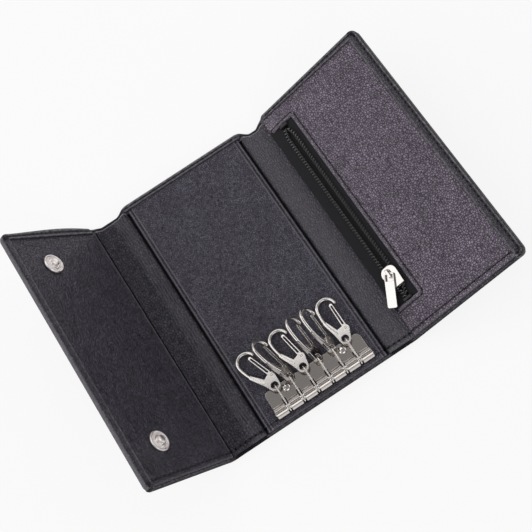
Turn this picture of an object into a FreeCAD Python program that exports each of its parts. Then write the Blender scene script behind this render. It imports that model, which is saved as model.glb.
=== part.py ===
import FreeCAD, Part
import os
from math import asin, atan2, cos, degrees, radians, sin

Vector = FreeCAD.Vector

# Key case: a trifold leather case, all lengths in millimetres.
# X runs across the folds, Y along them, Z up. The middle lies on z = 0, centred on the origin.
# The edge at low Y is the open mouth of the note compartment and carries the key plate.

# Leather shell
case_height = 120.0
middle_width = 58.6
right_spine_width = 12.2
left_flap_width = 51.5
closing_clearance = 0.5
corner_radius = 3.0
edge_round = 0.5
turned_edge_width = 3.2
fold_clearance = 0.15
cover_thickness = 1.1
note_gap = 0.8
wall_thickness = 0.9
mouth_step = 1.2
seat_gap = 0.02
overrun = 5.0
match_tolerance = 0.001

# Rest angles of the two outer panels
left_flap_angle = 56.0
right_panel_angle = 25.5

# Raised panel that carries the keys
key_panel_inset = 0.8
key_panel_thickness = 1.5
key_panel_step_width = 1.6
key_panel_step_height = 1.1
key_panel_bevel = 0.35

# Key plate: flat base, rolled knuckles and the rod through them
slot_count = 6
key_pitch = 6.85
knuckle_length = 5.1
knuckle_radius = 2.5
plate_thickness = 0.7
plate_depth = 10.2
plate_corner_radius = 2.0
plate_offset = 0.9
rod_edge_distance = 5.2
rod_radius = 1.25
rod_clearance = 0.03
rod_end_length = 0.4
rod_end_bevel = 0.3
slot_depth = 4.4
seam_width = 0.45
seam_angle = 104.0
crease_width = 0.25
crease_depth = 0.35
crease_angle = 72.0
rivet_shank_radius = 0.8
rivet_head_radius = 1.9
rivet_head_height = 0.7
rivet_tail_radius = 1.5
rivet_tail_height = 0.2
rivet_distance = 7.4
rivet_slots_apart = 4
backing_thickness = 0.3
backing_margin = 1.5

# Wire link between the rod and a hook
link_wire_radius = 0.37
link_end_radius = 1.9
link_length = 8.2
link_angle = 8.5

# Spring hook: flat eye with a web to the heel of the bow, round bowed spine, sprung gate
hook_thickness = 1.4
spine_radius = 0.8
eye_radius = 2.4
eye_hole_radius = 1.65
loop_radius = 4.1
loop_across = 2.1
loop_along = 15.6
heel_across = 2.2
heel_along = 3.2
heel_radius = 1.25
heel_tail_share = 0.5
nose_angle = 15.0
gate_pin_across = 1.9
gate_pin_along = 4.3
gate_boss_radius = 1.45
gate_pin_radius = 0.45
gate_pin_proud = 0.1
gate_root_radius = 0.95
gate_tip_radius = 0.75
gate_tip_across = 0.05
gate_tip_along = 15.9
gate_thickness = 0.7
gate_slot_width = 0.9
gate_slot_setback = 1.2
gate_slot_reach = 3.6
gate_slit_radius = 0.4
gate_slit_start_share = 0.2
gate_slit_end_share = 0.95
gate_clearance = 0.05
hook_rest_gap = 0.15
eye_play = 0.12
rolled_hook_pitch = -2.5
hook_rolls = [0.0, 48.0, 0.0, 50.0, 50.0, 0.0]
hook_leans = [9.6, 7.0, -0.2, -2.4, -2.4, -10.6]

# Two snap fasteners: stud and cap on the flap, socket on the right panel
stud_offset = 33.4
stud_end_distance = 17.0
stud_flange_radius = 4.6
stud_flange_thickness = 0.6
stud_rim_height = 0.3
stud_rim_width = 1.0
stud_rim_bevel = 0.3
stud_post_radius = 1.75
stud_post_length = 1.6
stud_post_round = 0.5
stud_neck_radius = 1.5
stud_neck_length = 0.5
shank_radius = 1.1
cap_radius = 5.0
cap_height = 1.0
socket_radius = 4.6
socket_flange_thickness = 0.6
socket_edge_bevel = 0.3
socket_hole_radius = 2.0
socket_wall = 0.5
socket_back_radius = 3.6
socket_back_thickness = 0.35
snap_clearance = 0.2

# Coin pocket and card slot on the right panel, lengths across measured from its fold
pocket_start = 1.6
pocket_seam = 3.0
pocket_side_slope = 9.0
pocket_end_slope = 3.4
pocket_lip = 1.8
card_gap = 0.7
pocket_back_thickness = 0.4
coin_gap = 1.5
pocket_front_thickness = 0.9
window_edge = 14.0
window_corner_radius = 0.8
window_bottom_margin = 14.0
window_top_margin = 11.0

# Zip: tapes, toothed rows, end stops, slider and pull
zip_centre = 9.0
tape_thickness = 0.4
tape_overlap = 3.0
tape_end_cover = 1.2
row_open_gap = 1.8
row_mesh = 0.5
row_spine_width = 0.9
tooth_length = 1.2
tooth_width = 0.6
tooth_pitch = 1.4
tooth_height = 1.1
row_end_margin = 1.6
row_bottom_ramp = 3.0
row_top_ramp = 6.0
stop_width = 4.0
stop_length = 1.2
stop_height = 1.4
stop_round = 0.3
slider_distance = 25.5
slider_length = 9.3
slider_width = 7.4
slider_tail_width = 6.6
slider_plate_thickness = 0.6
slider_bottom_thickness = 0.45
slider_corner_radius = 2.9
slider_clearance = 0.2
slider_post_length = 3.0
bail_span = 2.4
bail_thickness = 0.8
bail_width = 1.0
bail_room = 1.3
bail_shift = 1.4
bail_round = 0.5
pull_angle = 30.0
pull_length = 14.0
pull_width = 4.2
pull_thickness = 0.9
pull_hole_width = 3.2
pull_hole_length = 2.6
pull_bar = 0.9
pull_bar_chamfer = 0.22
pull_corner_radius = 0.8

# Places that follow from the sizes above
fold_height = cover_thickness + note_gap + wall_thickness
right_panel_width = middle_width - closing_clearance
snap_room = stud_flange_thickness + stud_rim_height + socket_flange_thickness + snap_clearance
left_spine_width = right_spine_width + fold_height + snap_room
y_top = case_height / 2
y_bottom = -case_height / 2
left_spine_fold_x = -middle_width / 2
left_flap_fold_x = left_spine_fold_x - left_spine_width
right_spine_fold_x = middle_width / 2
right_panel_fold_x = right_spine_fold_x + right_spine_width
left_end_x = left_flap_fold_x - left_flap_width
right_end_x = right_panel_fold_x + right_panel_width
key_panel_width = middle_width - 2 * key_panel_inset
key_panel_top = fold_height + key_panel_thickness
rod_y = y_bottom + rod_edge_distance
rod_z = key_panel_top + knuckle_radius
plate_half_length = (slot_count * key_pitch + knuckle_length) / 2
stud_ys = [y_top - stud_end_distance, y_bottom + stud_end_distance]
stud_x = left_flap_fold_x - stud_offset
socket_x = right_panel_fold_x + middle_width - stud_offset

pocket_back_z = fold_height + card_gap
coin_floor_z = pocket_back_z + pocket_back_thickness
pocket_front_z = coin_floor_z + coin_gap
tape_z = pocket_front_z - tape_thickness
zip_x = right_panel_fold_x + zip_centre
window_bottom_y = y_bottom + window_bottom_margin
window_top_y = y_top - window_top_margin
row_bottom_y = window_bottom_y + row_end_margin
row_top_y = window_top_y - row_end_margin
slider_tail_y = y_bottom + slider_distance - slider_length / 2
slider_nose_y = slider_tail_y + slider_length
slider_top_z = pocket_front_z + tooth_height + slider_clearance + slider_plate_thickness
pull_axis_y = (slider_tail_y + slider_nose_y) / 2 + bail_shift
pull_axis_z = slider_top_z + bail_room / 2
link_rise = link_length * sin(radians(link_angle))
link_end_y = rod_y + link_length * cos(radians(link_angle))
link_end_z = rod_z + link_rise


# Shared helpers

def box_between(x0, x1, y0, y1, z0, z1):
    return Part.makeBox(x1 - x0, y1 - y0, z1 - z0, Vector(x0, y0, z0))


def upright_cylinder(radius, x, y, z0, z1):
    return Part.makeCylinder(radius, z1 - z0, Vector(x, y, z0))


def is_near(first, second):
    return abs(first - second) < match_tolerance


def round_upright_edges(shape, radius, corners):
    """Round the upright edges that stand at the given (x, y) corners."""
    picked = []
    for edge in shape.Edges:
        first, last = edge.Vertexes[0].Point, edge.Vertexes[-1].Point
        upright = is_near(first.x, last.x) and is_near(first.y, last.y)
        if upright and any(is_near(first.x, x) and is_near(first.y, y) for x, y in corners):
            picked.append(edge)
    return shape.makeFillet(radius, picked)


def runs_across(edge):
    """True for an edge that keeps one Y all along."""
    return is_near(edge.BoundBox.YMin, edge.BoundBox.YMax)


def edges_at_height(shape, z):
    """Edges that lie wholly in the level plane at z."""
    found = []
    for edge in shape.Edges:
        box = edge.BoundBox
        if is_near(box.ZMin, z) and is_near(box.ZMax, z):
            found.append(edge)
    return found


def tapered_bar(start, start_radius, end, end_radius, z0, z1):
    """Upright plate whose outline is two discs joined by their outer tangents."""
    run = Vector(end[0] - start[0], end[1] - start[1], 0)
    heading = atan2(run.y, run.x)
    spread = asin((start_radius - end_radius) / run.Length)

    def rim(centre, radius, angle):
        return Vector(centre[0] + radius * cos(angle), centre[1] + radius * sin(angle), z0)

    left = heading + radians(90) - spread
    right = heading - radians(90) + spread
    back = heading + radians(180)
    outline = Part.Wire([
        Part.LineSegment(rim(start, start_radius, right), rim(end, end_radius, right)).toShape(),
        Part.Arc(rim(end, end_radius, right), rim(end, end_radius, heading),
                 rim(end, end_radius, left)).toShape(),
        Part.LineSegment(rim(end, end_radius, left), rim(start, start_radius, left)).toShape(),
        Part.Arc(rim(start, start_radius, left), rim(start, start_radius, back),
                 rim(start, start_radius, right)).toShape(),
    ])
    return Part.Face(outline).extrude(Vector(0, 0, z1 - z0))


def extruded_polygon(points, direction):
    return Part.Face(Part.makePolygon(points + points[:1])).extrude(direction)


def bent_rod(centre, axis, bend_radius, rod_radius, start_angle, sweep):
    """Round rod bent about an axis parallel to Z or X, swept from a start angle."""
    reach = Vector(bend_radius, 0, 0) if axis.z else Vector(0, bend_radius, 0)
    across = Vector(0, 1, 0) if axis.z else Vector(0, 0, 1)
    circle = Part.makeCircle(rod_radius, centre + reach, across)
    section = Part.Face(Part.Wire(circle))
    section.rotate(centre, axis, start_angle)
    return section.revolve(centre, axis, sweep)


def turned(shape, x, z, angle):
    """Turn a shape about the fold line at x, z that runs along Y."""
    shape.rotate(Vector(x, 0, z), Vector(0, 1, 0), angle)
    return shape


# Leather shell

def is_cut_edge(edge, fold_xs):
    """True for an edge on the mouth or on a fold, which stays square."""
    box = edge.BoundBox
    on_fold = any(is_near(box.XMin, x) and is_near(box.XMax, x) for x in fold_xs)
    return is_near(box.YMax, y_bottom) or on_fold


def outer_cover(x0, x1, free_xs=(), rim_top=fold_height):
    """Cover leather with its top and free edges turned up to the inner face; open at low Y."""
    fold_xs = [x for x in (x0, x1) if x not in free_xs]
    shell = box_between(x0, x1, y_bottom, y_top, 0, rim_top)
    if free_xs:
        corners = [(x, y) for x in free_xs for y in (y_top, y_bottom)]
        shell = round_upright_edges(shell, corner_radius, corners)
    for z in (0, rim_top):
        rounded = [edge for edge in edges_at_height(shell, z) if not is_cut_edge(edge, fold_xs)]
        shell = shell.makeFillet(edge_round, rounded)
    hollow_x0 = x0 - overrun if x0 in fold_xs else x0 + turned_edge_width
    hollow_x1 = x1 + overrun if x1 in fold_xs else x1 - turned_edge_width
    hollow = box_between(hollow_x0, hollow_x1, y_bottom - overrun, y_top - turned_edge_width,
                         cover_thickness, rim_top + overrun)
    return shell.cut(hollow)


def inner_wall(x0, x1):
    """Inner leather that closes the note compartment, held by the turned edges."""
    return box_between(x0, x1, y_bottom + mouth_step, y_top - turned_edge_width,
                       fold_height - wall_thickness, fold_height)


def rivet_places():
    reach = rivet_slots_apart * key_pitch / 2
    return [(plate_offset - reach, rod_y + rivet_distance), (plate_offset + reach, rod_y + rivet_distance)]


def drill(shape, radius, places, z0, z1):
    for x, y in places:
        shape = shape.cut(upright_cylinder(radius, x, y, z0 - overrun, z1 + overrun))
    return shape


def key_panel():
    """Padded panel with a bevelled, stepped border along both long sides."""
    half = key_panel_width / 2
    step_z = fold_height + key_panel_step_height
    section = [
        (-half, fold_height), (half, fold_height), (half - key_panel_bevel, step_z),
        (half - key_panel_step_width, step_z),
        (half - key_panel_step_width - key_panel_bevel, key_panel_top),
        (-half + key_panel_step_width + key_panel_bevel, key_panel_top),
        (-half + key_panel_step_width, step_z), (-half + key_panel_bevel, step_z),
    ]
    y0 = y_bottom + mouth_step
    length = case_height - mouth_step - turned_edge_width
    panel = extruded_polygon([Vector(x, y0, z) for x, z in section], Vector(0, length, 0))
    return drill(panel, rivet_shank_radius + seat_gap, rivet_places(), 0, key_panel_top)


# Key plate

def slot_xs():
    return [plate_offset + (index - (slot_count - 1) / 2) * key_pitch for index in range(slot_count)]


def knuckle_starts():
    first = plate_offset - plate_half_length
    return [first + index * key_pitch for index in range(slot_count + 1)]


def knuckle(x0):
    """One rolled knuckle with its open seam and a pressed crease, about the rod's axis."""
    axis = Vector(1, 0, 0)
    roll = Part.makeCylinder(knuckle_radius, knuckle_length, Vector(x0, rod_y, rod_z), axis)

    def groove(width, depth, angle):
        cut = Part.makeBox(knuckle_length + 2 * overrun, knuckle_radius, width,
                           Vector(x0 - overrun, rod_y + knuckle_radius - depth, rod_z - width / 2))
        cut.rotate(Vector(0, rod_y, rod_z), axis, angle)
        return cut

    return roll.cut([groove(seam_width, knuckle_radius, seam_angle),
                     groove(crease_width, crease_depth, crease_angle)])


def key_plate():
    """Pressed plate: flat base with link slots and a row of rolled knuckles."""
    x0 = plate_offset - plate_half_length
    x1 = plate_offset + plate_half_length
    back_y = rod_y + plate_depth
    top_z = key_panel_top + plate_thickness
    plate = box_between(x0, x1, rod_y, back_y, key_panel_top, top_z)
    plate = round_upright_edges(plate, plate_corner_radius, [(x0, back_y), (x1, back_y)])
    slot_half = (key_pitch - knuckle_length) / 2
    for x in slot_xs():
        plate = plate.cut(box_between(x - slot_half, x + slot_half, rod_y - overrun,
                                      rod_y + slot_depth, 0, top_z + overrun))
    plate = plate.fuse([knuckle(x) for x in knuckle_starts()])
    bore = Part.makeCylinder(rod_radius + rod_clearance, x1 - x0 + 2 * overrun,
                             Vector(x0 - overrun, rod_y, rod_z), Vector(1, 0, 0))
    plate = plate.cut(bore).removeSplitter()
    return drill(plate, rivet_shank_radius + seat_gap, rivet_places(), key_panel_top, top_z)


def key_plate_rod():
    length = 2 * (plate_half_length + rod_end_length)
    start = Vector(plate_offset - length / 2, rod_y, rod_z)
    rod = Part.makeCylinder(rod_radius, length, start, Vector(1, 0, 0))
    rims = [edge for edge in rod.Edges if is_near(edge.BoundBox.XMin, edge.BoundBox.XMax)]
    return rod.makeChamfer(rod_end_bevel, rims)


def key_plate_backing():
    """Steel strip under the inner wall that spreads the pull of the rivets."""
    reach = rivet_head_radius + backing_margin
    places = rivet_places()
    top_z = fold_height - wall_thickness
    strip = box_between(places[0][0] - reach, places[1][0] + reach, places[0][1] - reach,
                        places[0][1] + reach, top_z - backing_thickness, top_z)
    return drill(strip, rivet_shank_radius + seat_gap, places, top_z, top_z)


def key_plate_rivets():
    """Domed rivets from the plate down through leather and backing strip."""
    head_z = key_panel_top + plate_thickness
    tail_z = fold_height - wall_thickness - backing_thickness
    dome_radius = (rivet_head_radius ** 2 + rivet_head_height ** 2) / (2 * rivet_head_height)
    rivets = []
    for x, y in rivet_places():
        dome = Part.makeSphere(dome_radius, Vector(x, y, head_z + rivet_head_height - dome_radius))
        head = dome.common(upright_cylinder(rivet_head_radius + overrun, x, y, head_z,
                                            head_z + rivet_head_height + overrun))
        shank = upright_cylinder(rivet_shank_radius, x, y, tail_z, head_z)
        tail = upright_cylinder(rivet_tail_radius, x, y, tail_z - rivet_tail_height, tail_z)
        rivets.append(head.fuse([shank, tail]).removeSplitter())
    return Part.makeCompound(rivets)


# Links and hooks

def link(x):
    """Oval wire ring round the rod at one end and through a hook's eye at the other."""
    near = Vector(x, rod_y, rod_z)
    far = near + Vector(0, link_length, 0)
    axis = Vector(1, 0, 0)
    pieces = [
        bent_rod(near, axis, link_end_radius, link_wire_radius, 90, 180),
        bent_rod(far, axis, link_end_radius, link_wire_radius, -90, 180),
    ]
    for side in (link_end_radius, -link_end_radius):
        pieces.append(Part.makeCylinder(link_wire_radius, link_length, near + Vector(0, 0, side),
                                        Vector(0, 1, 0)))
    ring = pieces[0].fuse(pieces[1:]).removeSplitter()
    ring.rotate(near, axis, link_angle)
    return ring


def hook_body():
    """Hook lying flat with the eye's centre at the origin and the loop along +Y."""
    half = hook_thickness / 2
    pin = (gate_pin_across, gate_pin_along)
    heel = (-heel_across, heel_along)
    loop_centre = Vector(-loop_across, loop_along, 0)
    side_x = -loop_across - loop_radius
    rise = loop_along - heel_along
    inset = -heel_across - side_x
    bow_radius = (inset ** 2 + rise ** 2) / (2 * inset)
    bow_centre = Vector(side_x + bow_radius, loop_along, 0)
    bow_sweep = degrees(asin(rise / bow_radius))
    tail_angle = radians(180 + heel_tail_share * bow_sweep)
    tail = (bow_centre.x + bow_radius * cos(tail_angle), bow_centre.y + bow_radius * sin(tail_angle))
    web = [
        tapered_bar((0, 0), eye_radius, pin, gate_boss_radius, -half, half),
        tapered_bar((0, 0), eye_radius, heel, heel_radius, -half, half),
        tapered_bar(pin, gate_boss_radius, heel, heel_radius, -half, half),
        tapered_bar(heel, heel_radius, tail, spine_radius, -half, half),
    ]
    axis = Vector(0, 0, 1)
    bow = bent_rod(bow_centre, axis, bow_radius, spine_radius, 180, bow_sweep)
    top = bent_rod(loop_centre, axis, loop_radius, spine_radius, nose_angle, 180 - nose_angle)
    nose = Part.makeSphere(spine_radius, loop_centre + Vector(loop_radius * cos(radians(nose_angle)),
                                                              loop_radius * sin(radians(nose_angle)), 0))
    body = bow.fuse([top, nose] + web).removeSplitter()
    body = body.cut(upright_cylinder(eye_hole_radius, 0, 0, -overrun, overrun))
    slot = box_between(gate_pin_across - gate_slot_reach, gate_pin_across + overrun,
                       gate_pin_along - gate_slot_setback, gate_pin_along + overrun,
                       -gate_slot_width / 2, gate_slot_width / 2)
    hole = upright_cylinder(gate_pin_radius + seat_gap, pin[0], pin[1], -overrun, overrun)
    return body.cut([slot, hole])


def hook_gate():
    """Gate bar with a long slit, closed against the inside of the hook's nose."""
    half = gate_thickness / 2
    pin = (gate_pin_across, gate_pin_along)
    tip = (-gate_tip_across, gate_tip_along)

    def along(share):
        return (pin[0] + share * (tip[0] - pin[0]), pin[1] + share * (tip[1] - pin[1]))

    gate = tapered_bar(pin, gate_root_radius, tip, gate_tip_radius, -half, half)
    slit = tapered_bar(along(gate_slit_start_share), gate_slit_radius, along(gate_slit_end_share),
                       gate_slit_radius, -overrun, overrun)
    hole = upright_cylinder(gate_pin_radius + gate_clearance, pin[0], pin[1], -overrun, overrun)
    return gate.cut([slit, hole])


def gate_pin():
    half = hook_thickness / 2 + gate_pin_proud
    return upright_cylinder(gate_pin_radius, gate_pin_across, gate_pin_along, -half, half)


def hook_pitch(roll):
    """Slope of a hook at rest: a flat one comes down until its loop lies on the panel."""
    if roll:
        return rolled_hook_pitch
    drop = link_end_z - key_panel_top - spine_radius - hook_rest_gap
    return -degrees(asin(drop / (link_end_radius + loop_along + loop_radius)))


def hook_placement(x, roll, lean):
    pitch = hook_pitch(roll)
    reach = link_end_radius - eye_play
    eye = Vector(x, link_end_y + reach * cos(radians(pitch)), link_end_z + reach * sin(radians(pitch)))
    turn = FreeCAD.Rotation(Vector(1, 0, 0), pitch)
    turn = turn.multiply(FreeCAD.Rotation(Vector(0, 0, 1), lean))
    turn = turn.multiply(FreeCAD.Rotation(Vector(0, 1, 0), roll))
    return FreeCAD.Placement(eye, turn)


def moved(shape, placement):
    copy = shape.copy()
    copy.Placement = placement
    return copy


# Snap fasteners

def snap_stud(x, y):
    """Flanged male half on the flap's inner face: raised rim, dished ring and waisted post."""
    z0 = fold_height
    z1 = z0 + stud_flange_thickness
    rim_z = z1 + stud_rim_height
    post_z = z1 + stud_post_length
    rim_inner = stud_flange_radius - stud_rim_width
    profile = [
        (shank_radius, z0), (stud_flange_radius, z0), (stud_flange_radius, z1),
        (stud_flange_radius - stud_rim_bevel, rim_z), (rim_inner + stud_rim_bevel, rim_z), (rim_inner, z1),
        (stud_neck_radius, z1), (stud_neck_radius, z1 + stud_neck_length),
        (stud_post_radius, post_z - stud_post_round), (stud_post_radius - stud_post_round, post_z),
        (0, post_z), (0, z1), (shank_radius, z1),
    ]
    points = [Vector(x + radius, y, z) for radius, z in profile]
    face = Part.Face(Part.makePolygon(points + points[:1]))
    return face.revolve(Vector(x, y, 0), Vector(0, 0, 1), 360)


def snap_cap(x, y):
    """Domed cap on the flap's outer face; its shank reaches up into the stud."""
    dome_radius = (cap_radius ** 2 + cap_height ** 2) / (2 * cap_height)
    dome = Part.makeSphere(dome_radius, Vector(x, y, dome_radius - cap_height))
    cap = dome.common(upright_cylinder(cap_radius + overrun, x, y, -cap_height - overrun, 0))
    shank = upright_cylinder(shank_radius - seat_gap, x, y, 0, fold_height + stud_flange_thickness - seat_gap)
    return cap.fuse(shank)


def snap_socket(x, y):
    """Female half on the right panel's outer face, with a tube through the cover."""
    ring = upright_cylinder(socket_radius, x, y, -socket_flange_thickness, 0)
    ring = ring.makeChamfer(socket_edge_bevel, edges_at_height(ring, -socket_flange_thickness))
    tube = upright_cylinder(socket_hole_radius + socket_wall, x, y, 0, cover_thickness)
    bore = upright_cylinder(socket_hole_radius, x, y, -overrun, cover_thickness + overrun)
    return ring.fuse(tube).cut(bore)


def snap_socket_back(x, y):
    return upright_cylinder(socket_back_radius, x, y, cover_thickness,
                            cover_thickness + socket_back_thickness)


# Coin pocket and zip, drawn with the right panel flat

def pocket_xs():
    return right_panel_fold_x + pocket_start, right_end_x - turned_edge_width


def pocket_ys():
    return y_bottom + mouth_step, y_top - turned_edge_width


def coin_pocket_back():
    """Pocket lining, sewn down on three sides so that the card slot below opens towards the fold."""
    x0, x1 = pocket_xs()
    y0, y1 = pocket_ys()
    lining = box_between(x0, x1, y0, y1, fold_height, coin_floor_z)
    card_slot = box_between(x0 - overrun, x1 - pocket_seam, y0 + pocket_seam, y1 - pocket_seam,
                            fold_height - overrun, pocket_back_z)
    lip = box_between(x0, x0 + pocket_lip, tape_bottom_y(), tape_top_y(), coin_floor_z, tape_z)
    return lining.cut(card_slot).fuse(lip).removeSplitter()


def coin_room():
    """Space for coins: level in the middle, sloping down to the sewn borders."""
    x0, x1 = pocket_xs()
    y0, y1 = pocket_ys()

    def outline(side_inset, end_inset, z):
        corners = [(x0 - overrun, y0 + end_inset), (x1 - side_inset, y0 + end_inset),
                   (x1 - side_inset, y1 - end_inset), (x0 - overrun, y1 - end_inset)]
        points = [Vector(x, y, z) for x, y in corners]
        return Part.makePolygon(points + points[:1])

    low = outline(pocket_seam, pocket_seam, coin_floor_z)
    high = outline(pocket_seam + pocket_side_slope, pocket_seam + pocket_end_slope, pocket_front_z)
    return Part.makeLoft([low, high], True, True)


def coin_pocket_front():
    """Pocket front raised over the coin room, with the zip window cut in from the fold side."""
    x0, x1 = pocket_xs()
    y0, y1 = pocket_ys()
    room = coin_room()
    raised = room.copy()
    raised.translate(Vector(0, 0, pocket_front_thickness))
    border = box_between(x0, x1, y0, y1, coin_floor_z, coin_floor_z + pocket_front_thickness)
    past_edge = box_between(x0 - 2 * overrun, x0, y0, y1, 0, pocket_front_z + overrun)
    window_x = right_panel_fold_x + window_edge
    window = box_between(x0 - overrun, window_x, window_bottom_y, window_top_y, 0, pocket_front_z + overrun)
    front = border.fuse([room, raised]).cut([room, past_edge, window]).removeSplitter()
    return round_upright_edges(front, window_corner_radius,
                               [(window_x, window_bottom_y), (window_x, window_top_y)])


def tape_bottom_y():
    return window_bottom_y - tape_end_cover


def tape_top_y():
    return window_top_y + tape_end_cover


def row_offset(y):
    """Distance from the zip's centre line to a row's tooth tips: open in the middle, meshed at the ends."""
    closed = -row_mesh / 2
    opened = row_open_gap / 2
    bottom_start = slider_tail_y - slider_clearance - row_bottom_ramp
    top_end = row_top_y - row_top_ramp
    bottom_share = min(1, max(0, (y - bottom_start) / row_bottom_ramp))
    top_share = min(1, max(0, (y - top_end) / row_top_ramp))
    return closed + (opened - closed) * (bottom_share - top_share)


def zip_row(side, first_y):
    """Toothed row; side is -1 for the fold side and 1 for the other."""
    count = int((row_top_y - first_y) / tooth_pitch)
    inner, outer = [], []
    for index in range(count):
        y0 = first_y + index * tooth_pitch
        y1 = y0 + tooth_width
        y2 = y0 + tooth_pitch
        tip = row_offset(y0)
        root = tip + tooth_length
        back = root + row_spine_width
        last = index == count - 1
        inner += [(tip, y0), (tip, y1), (root, y1)]
        if not last:
            inner.append((row_offset(y2) + tooth_length, y2))
        outer += [(back, y0)]
        if last:
            outer.append((back, y1))
    outline = inner + outer[::-1]
    points = [Vector(zip_x + side * across, y, pocket_front_z) for across, y in outline]
    return extruded_polygon(points, Vector(0, 0, tooth_height))


def zip_tape(side):
    """Woven tape under a row; its inner edge follows the row's spine."""
    spine = tooth_length + row_spine_width / 2
    bottom_start = slider_tail_y - slider_clearance - row_bottom_ramp
    bend_ys = [bottom_start, bottom_start + row_bottom_ramp, row_top_y - row_top_ramp, row_top_y]
    far = zip_centre - pocket_start if side < 0 else window_edge + tape_overlap - zip_centre
    outline = [(far, tape_bottom_y()), (row_offset(tape_bottom_y()) + spine, tape_bottom_y())]
    outline += [(row_offset(y) + spine, y) for y in bend_ys]
    outline += [(row_offset(tape_top_y()) + spine, tape_top_y()), (far, tape_top_y())]
    points = [Vector(zip_x + side * across, y, tape_z) for across, y in outline]
    return extruded_polygon(points, Vector(0, 0, tape_thickness))


def zip_end_stops():
    """Clamped stops just past the first and last teeth."""
    stops = []
    for y0 in (row_bottom_y - stop_length - slider_clearance, row_top_y + slider_clearance):
        stop = box_between(zip_x - stop_width / 2, zip_x + stop_width / 2, y0, y0 + stop_length,
                           pocket_front_z, pocket_front_z + stop_height)
        stops.append(stop.makeFillet(stop_round, edges_at_height(stop, pocket_front_z + stop_height)))
    return Part.makeCompound(stops)


def zip_slider():
    """Slider: two plates joined by a post between the rows, side flanges and a bail on top."""
    plate_z = slider_top_z - slider_plate_thickness
    bottom_top_z = tape_z - slider_clearance
    nose_half = slider_width / 2
    tail_half = slider_tail_width / 2

    def plate(z0, thickness):
        outline = [(-tail_half, slider_tail_y), (tail_half, slider_tail_y), (nose_half, slider_nose_y),
                   (-nose_half, slider_nose_y)]
        shape = extruded_polygon([Vector(zip_x + x, y, z0) for x, y in outline], Vector(0, 0, thickness))
        corners = [(zip_x + side * nose_half, slider_nose_y) for side in (-1, 1)]
        return round_upright_edges(shape, slider_corner_radius, corners)

    top = plate(plate_z, slider_plate_thickness)
    bottom = plate(bottom_top_z - slider_bottom_thickness, slider_bottom_thickness)
    post_half = row_open_gap / 2 - slider_clearance
    post = box_between(zip_x - post_half, zip_x + post_half, slider_nose_y - slider_post_length,
                       slider_nose_y, bottom_top_z, plate_z)
    outline_cut = plate(pocket_front_z + slider_clearance, plate_z - pocket_front_z - slider_clearance)
    flange_inner = row_open_gap / 2 + tooth_length + row_spine_width + slider_clearance
    channel = box_between(zip_x - flange_inner, zip_x + flange_inner, slider_tail_y - overrun,
                          slider_nose_y + overrun, tape_z, plate_z)
    flanges = outline_cut.cut(channel)
    slider = top.fuse([bottom, post, flanges, slider_bail()])
    return slider.removeSplitter()


def slider_bail():
    """Small arch along the slider that holds the pull's end bar."""
    half = bail_span / 2 + bail_thickness
    top_z = slider_top_z + bail_room + bail_thickness
    block = box_between(zip_x - bail_width / 2, zip_x + bail_width / 2, pull_axis_y - half,
                        pull_axis_y + half, slider_top_z, top_z)
    ends = [edge for edge in edges_at_height(block, top_z) if runs_across(edge)]
    block = block.makeFillet(bail_round, ends)
    room = box_between(zip_x - overrun, zip_x + overrun, pull_axis_y - bail_span / 2,
                       pull_axis_y + bail_span / 2, slider_top_z, slider_top_z + bail_room)
    return block.cut(room)


def zip_pull():
    """Flat pull tab hung on its end bar under the bail, turned aside."""
    half = pull_width / 2
    z0 = pull_axis_z - pull_thickness / 2
    z1 = pull_axis_z + pull_thickness / 2
    end_y = pull_axis_y - pull_length
    bar_y = pull_axis_y + pull_bar / 2
    tab = box_between(zip_x - half, zip_x + half, end_y, bar_y, z0, z1)
    corners = [(zip_x + side * half, y) for side in (-1, 1) for y in (end_y, bar_y)]
    tab = round_upright_edges(tab, pull_corner_radius, corners)
    hole_half = pull_hole_width / 2
    hole_y = pull_axis_y - pull_bar / 2
    hole = box_between(zip_x - hole_half, zip_x + hole_half, hole_y - pull_hole_length, hole_y,
                       z0 - overrun, z1 + overrun)
    tab = tab.cut(hole)
    bar_edges = [edge for edge in tab.Edges
                 if runs_across(edge) and is_near(edge.BoundBox.ZMin, edge.BoundBox.ZMax)
                 and is_near(edge.BoundBox.YMax, hole_y)]
    tab = tab.makeChamfer(pull_bar_chamfer, bar_edges)
    tab.rotate(Vector(zip_x, pull_axis_y, 0), Vector(0, 0, 1), -pull_angle)
    return tab


# All pieces, in the frame of the laid-flat case

def middle_nodes():
    holes = rivet_places()
    wall = inner_wall(left_spine_fold_x + fold_clearance, right_spine_fold_x - fold_clearance)
    return {
        "outer_cover_middle": outer_cover(left_spine_fold_x + fold_clearance,
                                          right_spine_fold_x - fold_clearance),
        "inner_wall_middle": drill(wall, rivet_shank_radius + seat_gap, holes, 0, fold_height),
        "key_panel": key_panel(),
        "key_plate": key_plate(),
        "key_plate_rod": key_plate_rod(),
        "key_plate_backing": key_plate_backing(),
        "key_plate_rivets": key_plate_rivets(),
    }


def spine_nodes(name, x0, x1):
    return {
        "outer_cover_" + name: outer_cover(x0 + fold_clearance, x1 - fold_clearance),
        "inner_wall_" + name: inner_wall(x0 + fold_clearance, x1 - fold_clearance),
    }


def left_flap_nodes():
    places = [(stud_x, y) for y in stud_ys]
    cover = outer_cover(left_end_x, left_flap_fold_x - fold_clearance, [left_end_x])
    facing = inner_wall(left_end_x + turned_edge_width, left_flap_fold_x - fold_clearance)
    return {
        "outer_cover_left_flap": drill(cover, shank_radius, places, 0, cover_thickness),
        "left_flap_facing": drill(facing, shank_radius, places, 0, fold_height),
        "snap_studs": Part.makeCompound([snap_stud(x, y) for x, y in places]),
        "snap_caps": Part.makeCompound([snap_cap(x, y) for x, y in places]),
    }


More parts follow.
